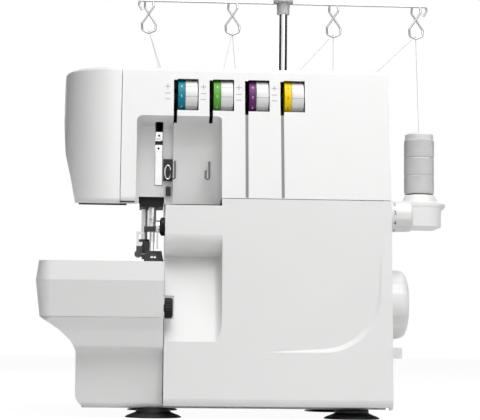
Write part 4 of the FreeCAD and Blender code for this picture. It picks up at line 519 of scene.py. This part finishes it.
def screw(at, radius=3.8, tall=2.35, foot=68.05, shank=1.8, tip=32.2, arm_half=0.55, reach=0.62, deep=1.3):
    """Screw with its head to the back: over radius r and angle a, y = foot + tall·(1 - (r/R)²/3), less the
    cross recess where the distance from a cross line is small, then a plain shank down to its tip."""
    r, a = np.meshgrid(np.linspace(0, 1, 22), np.linspace(0, 2 * pi, 96, endpoint=False), indexing="ij")
    arm = np.minimum(np.abs(np.cos(a)), np.abs(np.sin(a))) * r * radius
    cross = np.clip((arm_half - arm) / 0.15, 0, 1) * np.clip((reach - r) / 0.06, 0, 1)
    y = foot + tall * (1 - r ** 2 / 3) - deep * cross
    top = np.stack([at[0] + r * radius * np.cos(a), y, at[1] + r * radius * np.sin(a)], axis=-1)
    rings = [np.stack([at[0] + wide * np.cos(a[0]), np.full(a[0].shape, back), at[1] + wide * np.sin(a[0])],
                      axis=-1)
             for wide, back in ((radius, foot), (shank, foot), (shank, tip + 1), (shank - 0.5, tip),
                                (0, tip))]
    return skin(np.concatenate([top, np.stack(rings)]), round_v=True)


screws = make("screws", *[screw((x, z)) for x in SCREW_X for z in SCREW_Z], material=ground_steel, crease=30)
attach(screws, "chassis")
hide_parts("cover_screws")

# Tension dials: a coloured moulded band with numbers and a white drum with division lines, pressed together.
# Each turns on its post behind a window of the head cover, about the axis that the frame gives.
PIVOTS = {joint["name"]: np.array(joint["pos_m"]) / MM for joint in frame["joints"] if "pos_m" in joint}
DIAL_AXIS = PIVOTS["tension_turn_1"][1:]
DIAL_RIM, DIAL_BORE, DIAL_WIDE, DIAL_BAND, DIAL_INSET = 16.5, 3.05, 16.0, 5.9, 1.9
DRUM_RIM, DRUM_GAP, DRUM_DIVISIONS = 16.4, 0.15, 12
DIGIT_HIGH, PRINT_PROUD = 3.0, 0.03


def sheet(name, points, faces, material):
    """Thin print from points in millimetres and their faces."""
    mesh = bpy.data.meshes.new(name)
    mesh.from_pydata(points * MM, [], faces)
    mesh.materials.append(material)
    piece = bpy.data.objects.new(name, mesh)
    scene.collection.objects.link(piece)
    return piece


def figures(name, text, height):
    """Flat number made of the built-in type, as points and faces about its middle, in millimetres."""
    letters = bpy.data.curves.new(name, "FONT")
    letters.body, letters.size, letters.align_x, letters.align_y = text, height, "CENTER", "CENTER"
    holder = bpy.data.objects.new(name, letters)
    mesh = bpy.data.meshes.new_from_object(holder)
    points = np.empty(len(mesh.vertices) * 3)
    mesh.vertices.foreach_get("co", points)
    faces = [list(face.vertices) for face in mesh.polygons]
    bpy.data.objects.remove(holder)
    bpy.data.meshes.remove(mesh)
    return points.reshape(-1, 3), faces


def round_figures(name, words, height, at, x, radius, material):
    """Numbers laid on a drum: a flat point (p, q) goes to x + p and the angle a + q/radius about the axis."""
    points, faces, start = [], [], 0
    for text, angle in words:
        flat, fresh = figures(name, text, height)
        turn = angle + flat[:, 1] / radius
        points.append(np.stack([x + flat[:, 0], at[0] - radius * np.cos(turn),
                                at[1] + radius * np.sin(turn)], axis=-1))
        faces += [[start + corner for corner in face] for face in fresh]
        start += len(flat)
    return sheet(name, np.vstack(points), faces, material)


print_white = material_of("print_white", moulded_skin, (0.85, 0.85, 0.85), roughness=0.5)
print_black = material_of("print_black", moulded_skin, (0.03, 0.03, 0.03), roughness=0.5)
drum_white = material_of("drum_white", moulded_skin, (0.80, 0.80, 0.79), roughness=0.3, grain=0.00001)
tree = drum_white.node_tree
x, y, z = own_place(tree)
angle = calc(tree, "ARCTAN2", calc(tree, "SUBTRACT", z, DIAL_AXIS[1]),
             calc(tree, "SUBTRACT", DIAL_AXIS[0], y))
division = calc(tree, "FRACT", calc(tree, "MULTIPLY_ADD", angle, DRUM_DIVISIONS / (2 * pi), 0.5))
line = below(tree, calc(tree, "ABSOLUTE", calc(tree, "SUBTRACT", division, 0.5)), 0.02)
darken(drum_white, line, 0.62)
DIALS = (("dial_teal", (0.0, 0.21, 0.30), print_white), ("dial_green", (0.11, 0.38, 0.04), print_white),
         ("dial_purple", (0.13, 0.022, 0.14), print_white), ("dial_yellow", (0.93, 0.65, 0.0), print_black))
for order, (slot_x, (dye_slot, dye, ink)) in enumerate(zip(SLOTS, DIALS), start=1):
    left = slot_x + DIAL_INSET
    joint, right = left + DIAL_BAND, left + DIAL_WIDE
    dyed = material_of("dial_dye_%d" % order, moulded_skin, dye, roughness=0.3, specular=0.2, grain=0.00001)
    band = make("dial_band_%d" % order, turned(
        eased([(left, DIAL_BORE), (left, DIAL_RIM), (joint, DIAL_RIM), (joint, DIAL_BORE)], 0.7), DIAL_AXIS,
        ring=True, steps=96), material=dyed)
    near = joint + DRUM_GAP
    drum = make("dial_drum_%d" % order, turned(
        eased([(near, DIAL_BORE), (near, DRUM_RIM), (right, DRUM_RIM), (right, DIAL_BORE)], 0.5), DIAL_AXIS,
        ring=True, steps=96), material=drum_white)
    marks = round_figures("dial_numbers_%d" % order,
                          [("%d" % (5 + n), -n * 2 * pi / DRUM_DIVISIONS) for n in range(-4, 5)],
                          DIGIT_HIGH, DIAL_AXIS, left + DIAL_BAND / 2, DIAL_RIM + PRINT_PROUD, ink)
    for part in (band, drum, marks):
        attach(part, "tension_%d" % order)
    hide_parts("tension_dial_%d" % order)

# Setting marks: a plus and two dashes left of each slot, printed in pale grey ink
# on the head cover's leaning front.
MARK_X, MARK_WIDE, MARK_HIGH, MARK_STROKE, MARK_PROUD = -6.4, 4.4, 4.0, 0.7, 0.06
PLUS_Z, DASHES_Z = 266.7, (261.0, 256.1)
print_grey = material_of("print_grey", moulded_skin, (0.46, 0.46, 0.46), roughness=0.5)


def bars_on_front(name, bars, material):
    """Flat bars with their middle (x, z), width and height, laid on the leaning front:
    y = foot + lean·z, a little proud of it."""
    corners = [(x + side * wide / 2, z + up * high / 2)
               for x, z, wide, high in bars for side, up in ((-1, -1), (1, -1), (1, 1), (-1, 1))]
    points = [(x, FRONT_FOOT - MARK_PROUD + FRONT_LEAN * z, z) for x, z in corners]
    return sheet(name, np.array(points), np.arange(len(points)).reshape(-1, 4).tolist(), material)


strokes = [(PLUS_Z, MARK_WIDE, MARK_STROKE), (PLUS_Z, MARK_STROKE, MARK_HIGH),
           *[(z, MARK_WIDE, MARK_STROKE) for z in DASHES_Z]]
marks = bars_on_front("setting_marks", [(slot_x + MARK_X, *stroke) for slot_x in SLOTS for stroke in strokes],
                      print_grey)
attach(marks, "chassis")

# Stitch length dial: a white moulded barrel with a skirt, numbers beside the skirt and a rounded end.
# Its stub shaft turns in the right side of the body.
LENGTH_AXIS = PIVOTS["length_turn"][1:]
LENGTH_DIGITS_X, LENGTH_DIGITS_RAD, LENGTH_DIGIT_HIGH = 111.6, 13.22, 5.2
FIRST_DIGIT_AT, DIGIT_STEP = 123, 38
FLUTES_FROM, FLUTES_TO = 114.5, 125.0
knob_white = material_of("knob_white", moulded_skin, (0.80, 0.80, 0.795), roughness=0.34, grain=0.00002)


def flutes(along, angle):
    """Twelve shallow hollows round the grip: -0.3·cos²(6a), past the numbers and before the rounded end."""
    return -0.3 * np.cos(6 * angle) ** 2 * ((along > FLUTES_FROM) & (along < FLUTES_TO))


outline = [(86, 0), (86, 4), (100.6, 4), (100.6, 13.7), (101.2, 14), (107.5, 13.9), (108, 13.4),
           (108.6, 13.2), (114, 13.1), (115, 13.1), (119, 13), (122, 12.9), (124.6, 12.8), (125.6, 12.5),
           (126.6, 11.8), (127, 10.9), (127, 0)]
dial = make("length_dial", turned(outline, LENGTH_AXIS, steps=120, swell=flutes), material=knob_white)
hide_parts("stitch_length_dial")
digits = [(text, radians(FIRST_DIGIT_AT - DIGIT_STEP * n)) for n, text in enumerate("N12345")]
numbers = round_figures("length_numbers", digits, LENGTH_DIGIT_HIGH, LENGTH_AXIS, LENGTH_DIGITS_X,
                        LENGTH_DIGITS_RAD, print_black)
for part in (dial, numbers):
    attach(part, "length_dial")

# Handwheel: a hollow white moulding with a domed face and shallow finger hollows in its rim,
# pressed on the end of the main shaft.
WHEEL_AXIS = PIVOTS["wheel_turn"][1:]
HOLLOW_DEEP, HOLLOWS_FROM, HOLLOWS_TO = 1.1, 104, 124.5


def finger_hollows(along, angle):
    """Six hollows round the rim: a flat dip wherever cos(6·(a - 29°)) is large."""
    turn = np.cos(6 * (angle - radians(29)))
    return -HOLLOW_DEEP * np.clip((turn - 0.45) / 0.3, 0, 1) * ((along > HOLLOWS_FROM) & (along < HOLLOWS_TO))


dome = eased([(102, 25), (104, 29.2), (108, 30), (119.5, 29.2), (123.5, 27), (125.5, 22), (125.5, 10),
              (124, 9.2), (118.5, 8.6)], 2.5)
outline = np.vstack([[(102, 5.1)], dome, [(118.5, 0), (117.6, 0), (117.6, 5.1)]])
wheel = make("wheel", turned(outline, WHEEL_AXIS, steps=144, swell=finger_hollows, ring=True),
             material=cover_white)
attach(wheel, "drive")
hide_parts("handwheel")

# Cutting width dial, knife knob and presser lifter: small black mouldings. The dial has fine ribs round
# its rim and a stub that turns in the panel beside the scoop.
WIDTH_AXIS = PIVOTS["width_turn"][1:]
RIBS_FROM, RIBS_TO = -80.4, -75.2
knob_black = material_of("knob_black", moulded_skin, (0.005, 0.005, 0.005), roughness=0.45, specular=0.2,
                         grain=0.00005)


def ribs(along, angle):
    """Twenty-four ribs: 0.25·cos(24a) between the rounded ends."""
    return 0.25 * np.cos(24 * angle) * ((along > RIBS_FROM) & (along < RIBS_TO))


outline = eased([(-99, 0), (-99, 2.9), (-81, 2.9), (-81, 7.6), (-80, 7.75), (-75.4, 7.75), (-74.4, 7.2),
                 (-74.4, 0)], 0.4)
dial = make("width_dial", turned(outline, WIDTH_AXIS, steps=144, swell=ribs), material=knob_black)
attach(dial, "width_dial")
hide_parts("cutting_width_dial")
dress(knob_black, "knife_knob", "presser_lifter")

# Thread guides in the recess: a black plate whose button carries a chromed oval eye, a small black block
# and two bent wires of dark steel in the second recess. A steel loop on the needle bar leads the threads on.
OVAL_EYE, BAR_LOOP = (-79.2, -73.3, 198.0), (-91.2, -59.0, 159.6)
WIRES_FROM = -75.2
chrome = material_of("chrome", worked_metal, (0.80, 0.80, 0.81), metallic=1.0, roughness=0.07, grain=0.000002)
guide_mix = material_of("guide_mix", moulded_skin, (0.18, 0.18, 0.185), roughness=0.3)
tree = guide_mix.node_tree
x, y, z = own_place(tree)
wire = above(tree, x, WIRES_FROM)
darken(guide_mix, calc(tree, "SUBTRACT", 1.0, wire), 0.97)
tree.links.new(wire, tree.nodes["Principled BSDF"].inputs["Metallic"])
dress(guide_mix, "recess_guides")


def hoop(at, wide, high, radius, rows=64, sides=12):
    """Oval ring facing front: a circle of that radius about (x + wide·cos t, y, z + high·sin t)."""
    t, a = np.meshgrid(np.linspace(0, 2 * pi, rows, endpoint=False),
                       np.linspace(0, 2 * pi, sides, endpoint=False), indexing="ij")
    out = radius * np.cos(a)
    grid = np.stack([at[0] + (wide + out) * np.cos(t), at[1] + radius * np.sin(a),
                     at[2] + (high + out) * np.sin(t)], axis=-1)
    return skin(grid, round_u=True, round_v=True)


eye = make("oval_eye", hoop(OVAL_EYE, 2.4, 5.6, 0.6), material=chrome)
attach(eye, "chassis")
loop = make("bar_loop", hoop(BAR_LOOP, 1.6, 1.6, 0.4), material=ground_steel)
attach(loop, "needle")

# Power rocker: a light grey moulded rocker that tips on two pins in the switch block,
# low on the right side.
rocker_grey = material_of("rocker_grey", moulded_skin, (0.62, 0.62, 0.62), roughness=0.4)
dress(rocker_grey, "power_switch")

# Spools: white cores on white flared discs, cross-wound with grey thread in layers.
# Each sits on a pin of the stand, and two shallow bands show where the winding turned back.
SPOOLS, SPOOL_Y, CORE_RAD = (-66.0, -10.0, 76.5, 157.5), 100.0, 8.05
TURN_BACKS = (217.4, 234.2)
dress(material_of("core_white", moulded_skin, (0.82, 0.82, 0.82), roughness=0.42), "spool_cores")
thread_grey = material_of("thread_grey", moulded_skin, (0.68, 0.68, 0.68), roughness=0.9, specular=0.05,
                          grain=0.00012)


def winding(x, low=200.3, high=250.7, wide=13.75, pitch=0.72):
    """Wound thread: radius = wide + 0.25·|cos(pi·(z/pitch - a/2pi))|, less two bands and the soft ends."""
    z, a = np.meshgrid(np.linspace(low, high, 351), np.linspace(0, 2 * pi, 48, endpoint=False), indexing="ij")
    r = wide + 0.25 * np.abs(np.cos(pi * (z / pitch - a / (2 * pi))))
    for band in TURN_BACKS:
        r = r - 0.45 * np.exp(-((z - band) / 0.5) ** 2)
    r = r - 0.7 * np.exp(-(z - low) / 0.8) - 0.5 * np.exp(-(high - z) / 0.6)
    grid = np.stack([x + r * np.cos(a), SPOOL_Y + r * np.sin(a), z], axis=-1)
    hub = np.stack([x + CORE_RAD * np.cos(a[0]), SPOOL_Y + CORE_RAD * np.sin(a[0]), z[0]], axis=-1)
    lid = hub.copy()
    lid[:, 2] = high
    return skin(np.concatenate([hub[None], grid, lid[None]]), round_u=True, round_v=True)


wound = make("wound_thread", *[winding(x) for x in SPOOLS], material=thread_grey, crease=80)
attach(wound, "chassis")
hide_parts("thread_windings")

# Mast and thread tree: a chromed telescopic tube with a grey cap, through which a bent steel wire
# with four crossed eyes is clamped.
wire_steel = material_of("wire_steel", worked_metal, (0.42, 0.42, 0.43), metallic=1.0, roughness=0.3)
dress(chrome, "mast_slider", "mast_tube")
dress(wire_steel, "thread_tree", "top_thread_guides")
dress(material_of("cap_grey", moulded_skin, (0.52, 0.52, 0.52), roughness=0.4), "mast_cap")


# Threads: grey sewing thread, one from each spool up to its eye, and on down to the guides on the head.
def strand(start, end, radius=0.22, sides=8, rows=40):
    """Straight tube from start to end: point = start + t·(end - start) + radius·(cos a·n + sin a·b)."""
    start, end = np.array(start, float), np.array(end, float)
    way = (end - start) / np.linalg.norm(end - start)
    n = np.cross(way, (0.0, 1.0, 0.3))
    n /= np.linalg.norm(n)
    b = np.cross(way, n)
    t, a = np.meshgrid(np.linspace(0, 1, rows), np.linspace(0, 2 * pi, sides, endpoint=False), indexing="ij")
    ring = radius * (np.cos(a)[..., None] * n + np.sin(a)[..., None] * b)
    return skin(start + t[..., None] * (end - start) + ring, round_v=True)


EYES, EYE_LOW, EYE_HIGH = (-96.5, -18.5, 76.5, 154.5), 349.8, 350
GUIDES, GUIDE_Y, GUIDE_Z = (-85, -33, 28, 94), -4, 288.5
RISE_Y, FALL_Y, SPOOL_TOP, MAST_TRAVEL = 101.7, 101.2, 258, 40
line_grey = material_of("line_grey", moulded_skin, (0.55, 0.55, 0.55), roughness=0.6)
up_threads = make("spool_strands", *[strand((x, RISE_Y, SPOOL_TOP), (eye, RISE_Y, EYE_LOW))
                                     for x, eye in zip(SPOOLS, EYES)], material=line_grey, close=True)
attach(up_threads, "chassis")
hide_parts("spool_threads")
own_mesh(up_threads)
down_threads = make("guide_strands", *[strand((x, FALL_Y, EYE_HIGH), (end, GUIDE_Y, GUIDE_Z))
                                       for x, end in zip(EYES, GUIDES)], material=line_grey, close=True)
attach(down_threads, "chassis")
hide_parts("guide_threads")
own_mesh(down_threads)
